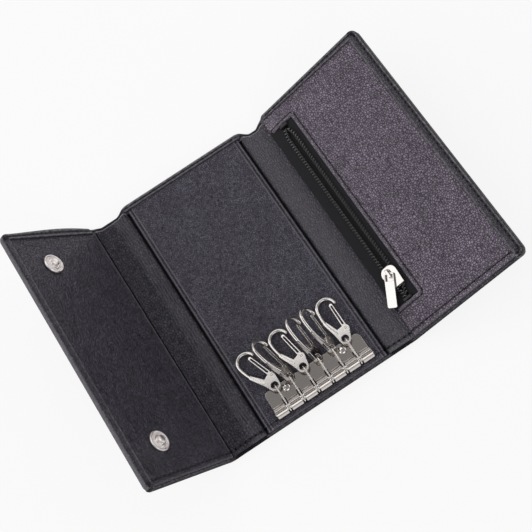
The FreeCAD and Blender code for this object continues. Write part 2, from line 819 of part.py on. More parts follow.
def right_panel_nodes():
    places = [(socket_x, y) for y in stud_ys]
    cover = outer_cover(right_panel_fold_x + fold_clearance, right_end_x, [right_end_x],
                        coin_floor_z + pocket_front_thickness)
    return {
        "outer_cover_right_panel": drill(cover, socket_hole_radius + socket_wall + seat_gap, places,
                                         0, cover_thickness),
        "inner_wall_right_panel": inner_wall(right_panel_fold_x + fold_clearance,
                                             right_end_x - turned_edge_width),
        "coin_pocket_back": coin_pocket_back(),
        "coin_pocket_front": coin_pocket_front(),
        "zip_tape_left": zip_tape(-1),
        "zip_tape_right": zip_tape(1),
        "zip_teeth_left": zip_row(-1, row_bottom_y),
        "zip_teeth_right": zip_row(1, row_bottom_y + tooth_pitch / 2),
        "zip_end_stops": zip_end_stops(),
        "snap_sockets": Part.makeCompound([snap_socket(x, y) for x, y in places]),
        "snap_socket_backs": Part.makeCompound([snap_socket_back(x, y) for x, y in places]),
        "zip_slider": zip_slider(),
        "zip_pull": zip_pull(),
    }


def hook_nodes():
    body, gate, pin = hook_body(), hook_gate(), gate_pin()
    nodes = {}
    for index, (x, roll, lean) in enumerate(zip(slot_xs(), hook_rolls, hook_leans), start=1):
        placement = hook_placement(x, roll, lean)
        nodes["hook_link_%d" % index] = link(x)
        nodes["key_hook_%d" % index] = moved(body, placement)
        nodes["hook_gate_%d" % index] = moved(gate, placement)
        nodes["gate_pin_%d" % index] = moved(pin, placement)
    return nodes


def build():
    """Every node by name, with the two outer panels raised to their rest angles."""
    nodes = middle_nodes()
    nodes.update(spine_nodes("left_spine", left_flap_fold_x, left_spine_fold_x))
    nodes.update(spine_nodes("right_spine", right_spine_fold_x, right_panel_fold_x))
    for name, shape in left_flap_nodes().items():
        nodes[name] = turned(shape, left_flap_fold_x, fold_height, left_flap_angle)
    for name, shape in right_panel_nodes().items():
        nodes[name] = turned(shape, right_panel_fold_x, fold_height, -right_panel_angle)
    nodes.update(hook_nodes())
    return nodes


os.makedirs("parts", exist_ok=True)
for node_name, node_shape in build().items():
    node_shape.exportStep("parts/" + node_name + ".step")
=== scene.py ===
from math import ceil, cos, floor, pi, radians, sin

import bpy
import numpy as np
from mathutils import Matrix, Vector


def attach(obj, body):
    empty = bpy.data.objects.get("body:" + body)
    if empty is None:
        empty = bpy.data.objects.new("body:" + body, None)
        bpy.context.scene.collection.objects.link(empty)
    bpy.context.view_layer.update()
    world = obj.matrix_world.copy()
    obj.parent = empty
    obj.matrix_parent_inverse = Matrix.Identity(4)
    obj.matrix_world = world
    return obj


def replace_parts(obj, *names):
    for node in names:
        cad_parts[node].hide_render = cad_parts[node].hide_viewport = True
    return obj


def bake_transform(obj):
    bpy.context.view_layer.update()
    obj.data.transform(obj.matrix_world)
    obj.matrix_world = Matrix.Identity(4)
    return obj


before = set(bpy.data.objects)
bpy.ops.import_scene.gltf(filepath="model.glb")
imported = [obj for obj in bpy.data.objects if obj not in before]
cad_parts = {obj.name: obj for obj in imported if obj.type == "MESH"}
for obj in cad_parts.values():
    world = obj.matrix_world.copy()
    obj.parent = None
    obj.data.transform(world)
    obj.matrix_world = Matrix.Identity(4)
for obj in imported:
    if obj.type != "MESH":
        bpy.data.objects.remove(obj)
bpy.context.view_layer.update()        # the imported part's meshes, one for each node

# A trifold key case, drawn flat in millimetres and then folded to its rest pose.
# x runs across the folds, y along them, z up from the outer face.

MM = 0.001

# Sizes shared with the solids
y_top = 60.0
y_bottom = -60.0
left_end_x = -97.5
left_flap_fold_x = -46.0
left_spine_fold_x = -29.3
right_spine_fold_x = 29.3
right_panel_fold_x = 41.5
right_end_x = 99.6
left_flap_angle = 56.0
right_panel_angle = 25.5
inner_z = 2.8
cover_thickness = 1.1
wall_thickness = 0.9
mouth_step = 1.2
corner_radius = 3.0
key_panel_half = 28.5
key_panel_top = 4.3
key_panel_step_width = 1.6
key_panel_step_drop = 0.4
stud_x = -79.4
stud_ys = (43.0, -43.0)
socket_x = 66.7
pocket_start = 1.6
pocket_back_z = 3.5
coin_floor_z = 3.9
pocket_edge_z = 4.8
pocket_rise = 1.5
pocket_seam = 3.0
pocket_side_slope = 11.0
pocket_end_slope = 5.0
pocket_thickness = 0.9
window_edge = 14.0
window_bottom_y = -46.0
window_top_y = 49.0
zip_x = 50.5
tape_z = 5.0
tape_thickness = 0.4
tape_overlap = 3.0
tape_end_cover = 1.2
row_bottom_y = -44.4
row_top_y = 47.4
row_top_ramp = 6.0
row_bottom_ramp = 3.0
slider_tail_y = -39.15
row_open = 0.9
row_closed = -0.25
row_width = 2.1
tooth_pitch = 1.4
tooth_height = 1.1

# Turned border: its width along the top edge, piece by piece, and along both ends
flap_border = 3.0
spine_border = 2.0
middle_border = 2.9
panel_border_near = 2.5
panel_border_far = 3.6
left_side_border = 3.0
right_side_border = 4.4
border_change = 2.0
tuck = 0.4

# Outline of the top edge
left_dip = 1.75
right_dip = 2.5
dip_reach = 7.0
dip_lead = 0.5
dip_blend = 4.5
shoulder_out = 1.2
flap_bulge = 1.3
bulge_skew_share = 1.5

# Edges, folds and seams of the leather
bend_half = 2.4
rim_radius = 1.1
edge_round = 0.5
groove_at = 1.5
groove_depth = 0.22
groove_width = 0.3
hole_depth = 0.3
hole_width = 0.32
pucker_depth = 0.12
pucker_width = 0.9
channel_share = 0.2
hem_at = 2.2
stitch_pitch = 2.5
stitch_length = 1.9
stitch_radius = 0.25


# Small helpers

def smooth(share):
    share = np.clip(share, 0, 1)
    return share * share * (3 - 2 * share)


def bump(distance, width):
    return np.exp(-(distance / width) ** 2)


def within(value, start, end, blend):
    """1 between start and end, fading out over the blend inside both."""
    return smooth((value - start) / blend) * smooth((end - value) / blend)


def step_at(value, place, width):
    """0 before a place and 1 after it, changing over a width centred there."""
    return smooth((value - place) / width + 0.5)


ripple_waves = 7
ripple_length_shares = (0.7, 1.5)
ripple_peak_share = 1.5


def ripple(x, y, wavelength, seed):
    """Soft random unevenness between about -1 and 1."""
    random = np.random.default_rng(seed)
    total = 0
    for _ in range(ripple_waves):
        heading = random.uniform(0, 2 * pi)
        length = wavelength * random.uniform(*ripple_length_shares)
        phase = random.uniform(0, 2 * pi)
        total = total + np.cos(2 * pi * (x * cos(heading) + y * sin(heading)) / length + phase)
    return total / ripple_waves ** 0.5 / ripple_peak_share


ragged_length = 2.4
ragged_share = 0.45


def ragged(x, y, seed):
    """Uneven strength of the painted highlights along an edge, from about 0.1 to 1."""
    return 1 - ragged_share * (1 + ripple(x, y, ragged_length, seed))


least_step = 0.035


def lines(start, end, step, zones=()):
    """Grid lines from start to end, closer together in zones of (centre, half width, step)."""
    found = [np.linspace(start, end, max(2, round((end - start) / step) + 1))]
    for centre, half, fine in zones:
        found.append(np.arange(centre - half, centre + half + fine / 2, fine))
    values = np.unique(np.concatenate(found))
    values = values[(values >= start) & (values <= end)]
    keep = [start]
    for value in values[1:-1]:
        if value - keep[-1] > least_step and end - value > least_step:
            keep.append(value)
    return np.array(keep + [end])


def rounding(distance, radius):
    """How far a round edge lies below its flat face, at a distance in from the edge."""
    share = np.clip(1 - distance / radius, 0, 1)
    return radius * (1 - np.sqrt(1 - share * share))


def hole_share(along):
    """1 at the needle holes, halfway between stitches, and 0 at the middle of a stitch."""
    return (0.5 - 0.5 * np.cos(2 * pi * along / stitch_pitch)) ** 2


def sewn(distance, along, at):
    """Depth of a sewn line: a channel with needle holes and puckers."""
    offset = distance - at
    channel = groove_depth * bump(offset, groove_width)
    holes = hole_depth * bump(offset, hole_width) + pucker_depth * bump(offset, pucker_width)
    return channel + holes * hole_share(along)


def sewn_shade(distance, along, at):
    """How dark a sewn line looks, from 0 to 1."""
    return bump(distance - at, hole_width) * (channel_share + (1 - channel_share) * hole_share(along))


# Folding

def turned(points, fold_x, angle, share):
    """Turn points about the fold line at fold_x by a share of an angle."""
    turn = radians(angle) * share
    dx = points[:, 0] - fold_x
    dz = points[:, 2] - inner_z
    result = points.copy()
    result[:, 0] = fold_x + dx * np.cos(turn) + dz * np.sin(turn)
    result[:, 2] = inner_z - dx * np.sin(turn) + dz * np.cos(turn)
    return result


def shaped_top(points):
    """The top edge is drawn in at both spines and swells along the flap."""
    x, y = points[:, 0], points[:, 1]
    left = left_dip * within(x, left_flap_fold_x - dip_lead, left_spine_fold_x - shoulder_out, dip_blend)
    right = right_dip * within(x, right_spine_fold_x + shoulder_out, right_panel_fold_x + dip_lead, dip_blend)
    flap_share = np.clip((x - left_end_x) / (left_flap_fold_x - left_end_x), 0, 1)
    swell = flap_bulge * np.sin(pi * flap_share ** bulge_skew_share)
    result = points.copy()
    result[:, 1] += swell * smooth((y - y_top + flap_border) / flap_border)
    result[:, 1] -= (left + right) * smooth((y - y_top + dip_reach) / dip_reach)
    return result


def folded(points, body=None):
    """Flat drawing to rest pose. A body's name turns the whole piece with that body."""
    points = shaped_top(np.asarray(points, float))
    if body is None:
        left = smooth((left_flap_fold_x + bend_half - points[:, 0]) / (2 * bend_half))
        right = smooth((points[:, 0] - right_panel_fold_x + bend_half) / (2 * bend_half))
    else:
        left = 1.0 if body == "left_flap" else 0.0
        right = 1.0 if body == "right_panel" else 0.0
    points = turned(points, left_flap_fold_x, left_flap_angle, left)
    return turned(points, right_panel_fold_x, -right_panel_angle, right)


# Meshes

def piece(name, points, faces, material, slot, tone=None, sharp=40):
    mesh = bpy.data.meshes.new(name)
    mesh.from_pydata((np.asarray(points) * MM).tolist(), [], [list(map(int, face)) for face in faces])
    mesh.materials.append(material)
    mesh.shade_smooth()
    mesh.set_sharp_from_angle(angle=radians(sharp))
    if tone is not None:
        mesh.attributes.new("tone", "FLOAT", "POINT").data.foreach_set("value", np.asarray(tone, np.float32))
    obj = bpy.data.objects.new(name, mesh)
    bpy.context.scene.collection.objects.link(obj)
    return obj


def slab(xs, ys, top, bottom, warp=None, keep=None, tone=None):
    """Closed sheet over a grid, with a tone for each point; keep picks the cells that stay."""
    x, y = np.meshgrid(xs, ys, indexing="ij")
    rows, columns = x.shape
    cell_x = (x[:-1, :-1] + x[1:, 1:]) / 2
    cell_y = (y[:-1, :-1] + y[1:, 1:]) / 2
    cells = np.ones((rows - 1, columns - 1), bool) if keep is None else keep(cell_x, cell_y)
    if warp is not None:
        x, y = warp(x, y)
    upper = np.stack([x, y, top(x, y)], -1).reshape(-1, 3)
    lower = np.stack([x, y, bottom(x, y)], -1).reshape(-1, 3)
    shade = (np.zeros_like(x) if tone is None else tone(x, y)).reshape(-1)
    points = np.concatenate([upper, lower])
    shades = np.concatenate([shade, shade])
    count = len(upper)
    i, j = np.nonzero(cells)
    a = i * columns + j
    b, c, d = a + columns, a + columns + 1, a + 1
    sides = np.concatenate([np.stack(pair, 1) for pair in ((a, b), (b, c), (c, d), (d, a))])
    keys = np.sort(sides, 1)
    _, index, seen = np.unique(keys[:, 0] * count + keys[:, 1], return_index=True, return_counts=True)
    rim = sides[index[seen == 1]]
    walls = np.stack([rim[:, 1], rim[:, 0], rim[:, 0] + count, rim[:, 1] + count], 1)
    faces = np.concatenate([np.stack([a, b, c, d], 1), np.stack([a, d, c, b], 1) + count, walls])
    used = np.unique(faces)
    order = np.zeros(len(points), int)
    order[used] = np.arange(len(used))
    return points[used], order[faces], shades[used]


def joined(parts):
    """Several (points, faces) as one."""
    points, faces, start = [], [], 0
    for part_points, part_faces in parts:
        points.append(np.asarray(part_points, float))
        faces += [[index + start for index in face] for face in part_faces]
        start += len(part_points)
    return np.concatenate(points), faces


def ring_faces(rings):
    """Faces between rings of point numbers; a ring of one point is a tip."""
    faces = []
    for low, high in zip(rings, rings[1:]):
        segments = max(len(low), len(high))
        for k in range(segments):
            following = (k + 1) % segments
            if len(low) == 1:
                faces.append([low[0], high[following], high[k]])
            elif len(high) == 1:
                faces.append([low[k], low[following], high[0]])
            else:
                faces.append([low[k], low[following], high[following], high[k]])
    return faces


def tube(path, radius, sides):
    """Round tube along an open path of points, with capped ends."""
    path = np.asarray(path, float)
    count = len(path)
    along = np.gradient(path, axis=0)
    along /= np.linalg.norm(along, axis=1)[:, None]
    across = np.cross(along, np.array([0.0, 0.0, 1.0]))
    across /= np.linalg.norm(across, axis=1)[:, None]
    above = np.cross(across, along)
    radii = np.broadcast_to(np.asarray(radius, float), (count,))
    points = []
    for k in range(sides):
        angle = 2 * pi * k / sides
        points.append(path + radii[:, None] * (across * cos(angle) + above * sin(angle)))
    rings = np.arange(count * sides).reshape(count, sides).tolist()
    faces = ring_faces(rings) + [rings[0][::-1], rings[-1]]
    return np.stack(points, 1).reshape(-1, 3), faces


def lathe(profile, segments, centre):
    """Closed turned shape from (radius, z) points that start and end on the axis."""
    points, rings = [], []
    for radius, z in profile:
        if radius == 0:
            rings.append([len(points)])
            points.append((centre[0], centre[1], z))
            continue
        rings.append(list(range(len(points), len(points) + segments)))
        for k in range(segments):
            angle = 2 * pi * k / segments
            points.append((centre[0] + radius * cos(angle), centre[1] + radius * sin(angle), z))
    return np.array(points), ring_faces(rings)


# Materials

def fill(tree, node, inputs):
    """Link each input of a node to a socket, or set it to a value."""
    for name, value in inputs.items():
        if isinstance(value, bpy.types.NodeSocket):
            tree.links.new(value, node.inputs[name])
        else:
            node.inputs[name].default_value = value
    return node


def add_node(tree, kind, inputs, operation=None):
    node = tree.nodes.new("ShaderNode" + kind)
    if operation is not None:
        node.operation = operation
    return fill(tree, node, inputs)


def new_material(name, color, roughness, metallic=0.0, specular=0.5):
    material = bpy.data.materials.new(name)
    material.use_nodes = True
    tree = material.node_tree
    shader = fill(tree, tree.nodes["Principled BSDF"], {
        "Base Color": (*color, 1), "Roughness": roughness, "Metallic": metallic,
        "Specular IOR Level": specular})
    return material, tree, shader


def mapped(tree, stretch=(1, 1, 1)):
    place = tree.nodes.new("ShaderNodeTexCoord")
    return add_node(tree, "Mapping", {"Vector": place.outputs["Object"], "Scale": stretch}).outputs["Vector"]


def noise(tree, vector, size, detail=4.0):
    texture = add_node(tree, "TexNoise", {"Vector": vector, "Scale": 1 / (size * MM), "Detail": detail})
    return texture.outputs["Fac"]


def grey(value):
    return value, value, value


new_stop_share = 0.5


def ramp(tree, value, stops):
    """Colour ramp from (position, colour) stops."""
    node = add_node(tree, "ValToRGB", {"Fac": value})
    elements = node.color_ramp.elements
    stops = list(stops)
    while len(elements) < len(stops):
        elements.new(new_stop_share)
    for element, (position, color) in zip(elements, stops):
        element.position = position
        element.color = (*color, 1)
    return node.outputs["Color"]


def span(tree, value, low, high, from_low=0.0, from_high=1.0):
    """Value carried from one range to another, and held at its ends."""
    node = add_node(tree, "MapRange", {"Value": value, "From Min": from_low, "From Max": from_high,
                                       "To Min": low, "To Max": high})
    return node.outputs["Result"]


def mixed(tree, share, first, second, mode="MIX"):
    """Two colours mixed by a share; each of the three is a socket or a value."""
    node = tree.nodes.new("ShaderNodeMix")
    node.data_type = "RGBA"
    node.blend_type = mode
    numbers = {socket.identifier: number for number, socket in enumerate(node.inputs)}
    fill(tree, node, {numbers["Factor_Float"]: share, numbers["A_Color"]: first, numbers["B_Color"]: second})
    return next(socket for socket in node.outputs if socket.identifier == "Result_Color")


def bumped(tree, shader, layers, normal=None):
    """Stack of bumps from (height, depth in millimetres) pairs."""
    for height, depth in layers:
        node = add_node(tree, "Bump", {"Distance": depth * MM, "Height": height})
        if normal is not None:
            tree.links.new(normal, node.inputs["Normal"])
        normal = node.outputs["Normal"]
    tree.links.new(normal, shader.inputs["Normal"])


def wandering(tree, vector, size, reach):
    """Coordinates pushed about by a noise, so that cells look grown and not drawn."""
    wander = add_node(tree, "TexNoise", {"Vector": vector, "Scale": 1 / (size * MM)})
    shift = add_node(tree, "VectorMath", {0: wander.outputs["Color"], "Scale": reach * MM}, "SCALE")
    return add_node(tree, "VectorMath", {0: vector, 1: shift.outputs["Vector"]}).outputs["Vector"]


# Painted highlight: where the tone is above 0, the leather's colour is mixed towards this pale colour
painted_highlight_color = (0.30, 0.285, 0.31)
# Painted shade: where the tone is below 0, the colour is mixed towards this near black and the sheen is
# turned down
painted_shade_color = (0.002, 0.002, 0.0025)
leather_tint = (0.95, 0.88, 1.0)
leather_specular = 0.5
painted_shade_specular = 0.08
dull_tone = -0.8
leather_smoother = 0.06
leather_rougher = 0.08
soft_detail = 2.0
pebble_stops = [(0.0, 0.0), (0.09, 0.45), (0.22, 0.8), (0.45, 1.0)]
uneven_stops = (0.35, 0.65)
broad_range = (0.3, 0.7)

# Layers of the grain: sizes as shares of its cell, depths as shares of its depth
cell_wander_share = 3
wrinkle_wander_share = 6
wrinkle_reach_share = 3
wrinkle_size_share = 2.2
pore_size_share = 0.3
broad_size_share = 14
broad_depth_share = 2
wrinkle_depth_share = 1.6
pore_depth_share = 0.3


def leather(name, dark, light, cell, depth, roughness, stretch=(1, 1, 1), patch=0.2, crease=0.45, speck=0.4):
    """Grained leather: pebbles with darker grooves, wrinkles, pores and soft patches, with painted highlights
    and painted shade from the tone attribute.
    """
    material, tree, shader = new_material(name, dark, roughness)
    vector = mapped(tree, stretch)
    grown = wandering(tree, vector, cell_wander_share * cell, cell)
    cells = add_node(tree, "TexVoronoi", {"Vector": grown, "Scale": 1 / (cell * MM)})
    cells.feature = "DISTANCE_TO_EDGE"
    pebble = ramp(tree, cells.outputs["Distance"], [(place, grey(value)) for place, value in pebble_stops])
    creased = wandering(tree, vector, wrinkle_wander_share * cell, wrinkle_reach_share * cell)
    wrinkle = noise(tree, creased, wrinkle_size_share * cell, soft_detail)
    pores = noise(tree, vector, pore_size_share * cell)
    broad = noise(tree, vector, broad_size_share * cell, soft_detail)
    color = ramp(tree, pebble, [(0, dark), (1, light)])
    for uneven, least in ((broad, 1 - patch), (wrinkle, 1 - crease), (pores, 1 - speck)):
        shade = ramp(tree, uneven, zip(uneven_stops, (grey(least), grey(1))))
        color = mixed(tree, 1, color, shade, "MULTIPLY")
    attribute = tree.nodes.new("ShaderNodeAttribute")
    attribute.attribute_name = "tone"
    tone = attribute.outputs["Fac"]
    # Tone above 0 paints highlights; tone below 0 paints shade
    color = mixed(tree, span(tree, tone, 0, 1), color, (*painted_highlight_color, 1))
    color = mixed(tree, span(tree, tone, 0, 1, 0, -1), color, (*painted_shade_color, 1))
    # Painted shade also lowers the specular level where the tone is below 0
    fill(tree, shader, {
        "Base Color": color,
        "Specular Tint": (*leather_tint, 1),
        "Specular IOR Level": span(tree, tone, leather_specular, painted_shade_specular, 0, dull_tone),
        "Roughness": span(tree, broad, roughness - leather_smoother, roughness + leather_rougher,
                          *broad_range)})
    bumped(tree, shader, [(broad, broad_depth_share * depth), (wrinkle, wrinkle_depth_share * depth),
                          (pebble, depth), (pores, pore_depth_share * depth)])
    return material


metal_edge_radius = 0.28
metal_edge_samples = 6
metal_smoother = 0.05
metal_rougher = 0.07
cloud_size = 1.6
cloud_detail = 3.0
cloud_depth = 0.004
rub_size = 0.5
rub_stops = (0.35, 0.6)
rub_color_share = 0.92


def metal(name, color, roughness):
    """Plated metal with softened edges and faint uneven polish."""
    material, tree, shader = new_material(name, color, roughness, metallic=1.0)
    edge = add_node(tree, "Bevel", {"Radius": metal_edge_radius * MM})
    edge.samples = metal_edge_samples
    vector = mapped(tree)
    cloud = noise(tree, vector, cloud_size, cloud_detail)
    rubbed = noise(tree, vector, rub_size, soft_detail)
    darker = tuple(rub_color_share * channel for channel in color)
    fill(tree, shader, {
        "Base Color": ramp(tree, rubbed, zip(rub_stops, (darker, color))),
        "Roughness": span(tree, cloud, roughness - metal_smoother, roughness + metal_rougher)})
    bumped(tree, shader, [(cloud, cloud_depth)], edge.outputs["Normal"])
    return material


cloth_roughness = 0.85
cloth_specular = 0.25
cloth_sheen = 0.25
thread_wave_share = 0.31
thread_distortion = 0.6
weave_depth = 0.12


def cloth(name, dark, light, thread_width):
    """Plain woven cloth from two crossed waves."""
    material, tree, shader = new_material(name, dark, cloth_roughness, specular=cloth_specular)
    vector = mapped(tree)
    heights = []
    for direction in ("X", "Y"):
        wave = add_node(tree, "TexWave", {"Vector": vector, "Scale": thread_wave_share / (thread_width * MM),
                                          "Distortion": thread_distortion})
        wave.bands_direction = direction
        heights.append(wave.outputs["Fac"])
    weave = add_node(tree, "Math", {0: heights[0], 1: heights[1]}, "MULTIPLY").outputs[0]
    fill(tree, shader, {
        "Base Color": ramp(tree, weave, [(0, dark), (1, light)]), "Sheen Weight": cloth_sheen})
    bumped(tree, shader, [(weave, weave_depth)])
    return material


mottle_stops = (0.3, 0.7)
mottle_roughness = 0.08


def plain(name, dark, light, roughness, size, depth, specular=0.5, coat=0.0):
    """Moulded or spun material with slight mottling."""
    material, tree, shader = new_material(name, dark, roughness, specular=specular)
    cloud = noise(tree, mapped(tree), size)
    fill(tree, shader, {
        "Base Color": ramp(tree, cloud, zip(mottle_stops, (dark, light))),
        "Coat Weight": coat,
        "Roughness": span(tree, cloud, roughness - mottle_roughness, roughness + mottle_roughness)})
    bumped(tree, shader, [(cloud, depth)])
    return material


fine_leather = leather("fine_leather", dark=(0.008, 0.0075, 0.010), light=(0.245, 0.232, 0.295),
                       cell=0.75, depth=0.30, roughness=0.40)
facing_leather = leather("facing_leather", dark=(0.006, 0.0055, 0.007), light=(0.138, 0.128, 0.170),
                         cell=0.85, depth=0.30, roughness=0.40, stretch=(1, 0.55, 1))
spine_leather = leather("spine_leather", dark=(0.004, 0.004, 0.005), light=(0.122, 0.116, 0.150),
                        cell=0.9, depth=0.30, roughness=0.42, stretch=(1, 0.7, 1))
pebble_leather = leather("pebble_leather", dark=(0.014, 0.012, 0.015), light=(0.405, 0.335, 0.435),
                         cell=0.95, depth=0.26, roughness=0.42, crease=0.35, speck=0.25)
edge_leather = leather("edge_leather", dark=(0.006, 0.006, 0.007), light=(0.165, 0.155, 0.185),
                       cell=0.8, depth=0.22, roughness=0.40)
nickel = metal("nickel", color=(0.70, 0.665, 0.64), roughness=0.12)
# Painted reflection: a darker, browner copy of the nickel for the key plate, for the dark leather its flat
# face reflects
shaded_plate_nickel = metal("shaded_plate_nickel", color=(0.62, 0.572, 0.540), roughness=0.12)
stud_silver = metal("stud_silver", color=(0.96, 0.90, 0.88), roughness=0.32)
steel = metal("steel", color=(0.45, 0.45, 0.46), roughness=0.35)
tape_cloth = cloth("tape_cloth", dark=(0.004, 0.0035, 0.005), light=(0.026, 0.024, 0.029), thread_width=0.45)
lining_cloth = cloth("lining_cloth", dark=(0.004, 0.0035, 0.005), light=(0.020, 0.018, 0.022),
                     thread_width=0.3)
coil_nylon = plain("coil_nylon", dark=(0.008, 0.008, 0.009), light=(0.020, 0.020, 0.022),
                   roughness=0.14, size=0.8, depth=0.01, specular=1.0, coat=1.0)
stop_nylon = plain("stop_nylon", dark=(0.008, 0.008, 0.009), light=(0.020, 0.020, 0.022),
                   roughness=0.6, size=0.6, depth=0.02)
thread = plain("thread", dark=(0.010, 0.009, 0.011), light=(0.030, 0.028, 0.032),
               roughness=0.5, size=0.15, depth=0.05)


# Outer cover: turned border round the top and the two ends

border_lift = 0.3
shoulder_width = 4.5
spine_border_drop = 0.3
fold_sink = 0.3
fold_sink_width = 1.6
ridge_inset = 0.45
ridge_height = 0.16
ridge_width = 0.42
border_wave = 0.06
border_wave_length = 5.0
pleat_centre = 3.8
pleat_ring = 2.9
pleat_ring_width = 1.3
pleat_height = 0.3
pleats_each_turn = 40
# Painted highlights along the rim of the top edge and of the ends
corner_draw_reach = 14.0
side_rim_at = 0.6
side_rim_width = 0.28
top_rim_at = 0.95
top_rim_width = 0.45
# Painted highlight on the rim at the flap's free end, with a band of painted shade just inside it
flap_rim_width = 0.2
flap_rim_shade_at = 0.55
flap_rim_shade = 0.3
flap_rim_tone = 0.3
# Painted highlights on the rim line and on the border's ridge
rim_line_tone = 0.85
ridge_tone = 0.6
# Painted shade on the cut wall and over the spines
wall_width = 0.25
wall_tone = 0.8
spine_tone = 0.6
# Painted highlight and shade over the corner pleats
pleat_tone = 0.35
# Painted shade in the needle holes of every sewn line
hole_tone = 0.95


def from_ends(x):
    """Distance in from the nearer end of the case."""
    return np.minimum(x - left_end_x, right_end_x - x)


def from_edges(y):
    """Distance in from the top edge or the mouth, whichever is nearer."""
    return np.minimum(y_top - y, y - y_bottom)


def edge_distance(x, y, with_bottom):
    """Distance in from the case's outline, round at the four outer corners."""
    across = from_ends(x)
    nearest = from_edges(y)
    along = nearest if with_bottom else y_top - y
    corner = corner_radius - np.hypot(corner_radius - across, corner_radius - nearest)
    in_corner = (across < corner_radius) & (nearest < corner_radius)
    return np.where(in_corner, corner, np.minimum(across, along))


def border_at(x):
    """Width of the turned border along the top edge."""
    panel_share = np.clip((x - right_panel_fold_x) / (right_end_x - right_panel_fold_x), 0, 1)
    panel = panel_border_near + (panel_border_far - panel_border_near) * panel_share
    width = np.full_like(x, flap_border)
    for start, wanted in ((left_flap_fold_x, spine_border), (left_spine_fold_x - shoulder_out, middle_border),
                          (right_spine_fold_x + shoulder_out, spine_border), (right_panel_fold_x, panel)):
        width = width + (wanted - width) * step_at(x, start, border_change)
    return width


def side_border(x):
    return np.where(x < 0, left_side_border, right_side_border)


def on_spine(x):
    """1 on the two spines, 0 elsewhere."""
    left = within(x, left_flap_fold_x, left_spine_fold_x, border_change)
    return left + within(x, right_spine_fold_x, right_panel_fold_x, border_change)


def along_edge(x, y):
    """Position along the nearest sewn edge."""
    return np.where(from_ends(x) < from_edges(y), y, x)


def corner_pleats(x, y):
    """Small radial gathers, from -1 to 1, where the border turns an outer corner."""
    dx = from_ends(x) - pleat_centre
    dy = from_edges(y) - pleat_centre
    corner = smooth(-dx) * smooth(-dy)
    ring = bump(np.hypot(dx, dy) - pleat_ring, pleat_ring_width)
    return corner * ring * np.cos(pleats_each_turn * np.arctan2(dy, dx))


def border_top(x):
    """Height of the turned border: low at the spines, high over the key panel and the pocket."""
    spine_z = inner_z - spine_border_drop
    z = np.full_like(x, inner_z + border_lift)
    for start, wanted in ((left_flap_fold_x, spine_z),
                          (left_spine_fold_x - shoulder_out, key_panel_top + border_lift),
                          (right_spine_fold_x + shoulder_out, spine_z),
                          (right_panel_fold_x + shoulder_out, pocket_edge_z + border_lift)):
        z = z + (wanted - z) * step_at(x, start, shoulder_width)
    for fold_x in (left_flap_fold_x, right_panel_fold_x):
        z = z - fold_sink * bump(x - fold_x, fold_sink_width)
    return z


def from_inner_edge(x, y):
    """Distance out from the border's inner edge."""
    return np.maximum(border_at(x) - (y_top - y), side_border(x) - from_ends(x))


def sewn_border(x):
    """1 where the inner face of the border is sewn: not on the spines nor along the flap's end."""
    return (1 - on_spine(x)) * smooth((x - left_end_x - groove_at) / groove_at)


def ridge(x, y):
    """1 along the ridge beside the border's inner edge, where the border is sewn."""
    return bump(from_inner_edge(x, y) - ridge_inset, ridge_width) * sewn_border(x)


def cover_top(x, y):
    distance = edge_distance(x, y, False)
    z = border_top(x) - rounding(distance, rim_radius)
    z = z - sewn(distance, along_edge(x, y), groove_at) * sewn_border(x)
    z = z + ridge_height * ridge(x, y)
    z = z + pleat_height * corner_pleats(x, y)
    z = z + border_wave * ripple(x, y, border_wave_length, seed=3) * smooth(distance / rim_radius)
    inside = cover_thickness - rounding(y - y_bottom, edge_round)
    return np.where(from_inner_edge(x, y) > 0, z, inside)


belly_start = 48.0
belly_blend = 6.0
belly_depth = 0.1
belly_length = 30.0
belly_margin = 3.0


def cover_bottom(x, y):
    """Outer face, sewn round its edge, a little sunken where the panels stand clear of the table."""
    outline = edge_distance(x, y, True)
    free = np.minimum(from_ends(x), y_top - y)
    z = np.where(y - y_bottom < free, rounding(outline, edge_round), rounding(outline, rim_radius))
    z = z + sewn(outline, along_edge(x, y), groove_at)
    raised = smooth((np.abs(x) - belly_start) / belly_blend)
    sag = belly_depth * raised * (1 + ripple(x, y, belly_length, seed=5))
    return z + sag * smooth(outline / belly_margin)


# Painted light and shade of the cover: highlights on the rim and the ridge, highlight and shade on the
# pleats, and shade on the wall, over the spines and in the needle holes
def cover_tone(x, y):
    distance = edge_distance(x, y, True)
    at_side = along_edge(x, y) == y
    at_flap_end = at_side & (x < 0)
    rim_line = np.where(at_side, bump(distance - side_rim_at, side_rim_width),
                        bump(distance - top_rim_at, top_rim_width))
    wall = wall_tone * bump(distance, wall_width)
    flap_line = flap_rim_tone * bump(distance, flap_rim_width)
    flap_shade = flap_rim_shade * bump(distance - flap_rim_shade_at, side_rim_width)
    light = rim_line_tone * np.where(at_flap_end, 0, rim_line) + ridge_tone * ridge(x, y)
    light = light * ragged(x, y, seed=6) * (1 - on_spine(x)) + pleat_tone * corner_pleats(x, y)
    shade = hole_tone * sewn_shade(distance, along_edge(x, y), groove_at) * sewn_border(x)
    return light - shade - spine_tone * on_spine(x) + np.where(at_flap_end, flap_line - flap_shade, -wall)


def round_corners(x, y):
    """Draw the grid in at the outer corners so that its edge follows their rounding."""
    share = np.clip(1 - from_edges(y) / corner_radius, 0, 1)
    inset = corner_radius * (1 - np.sqrt(1 - share * share))
    left = inset * np.clip(1 - (x - left_end_x) / corner_draw_reach, 0, 1)
    right = inset * np.clip(1 - (right_end_x - x) / corner_draw_reach, 0, 1)
    return x + left - right, y


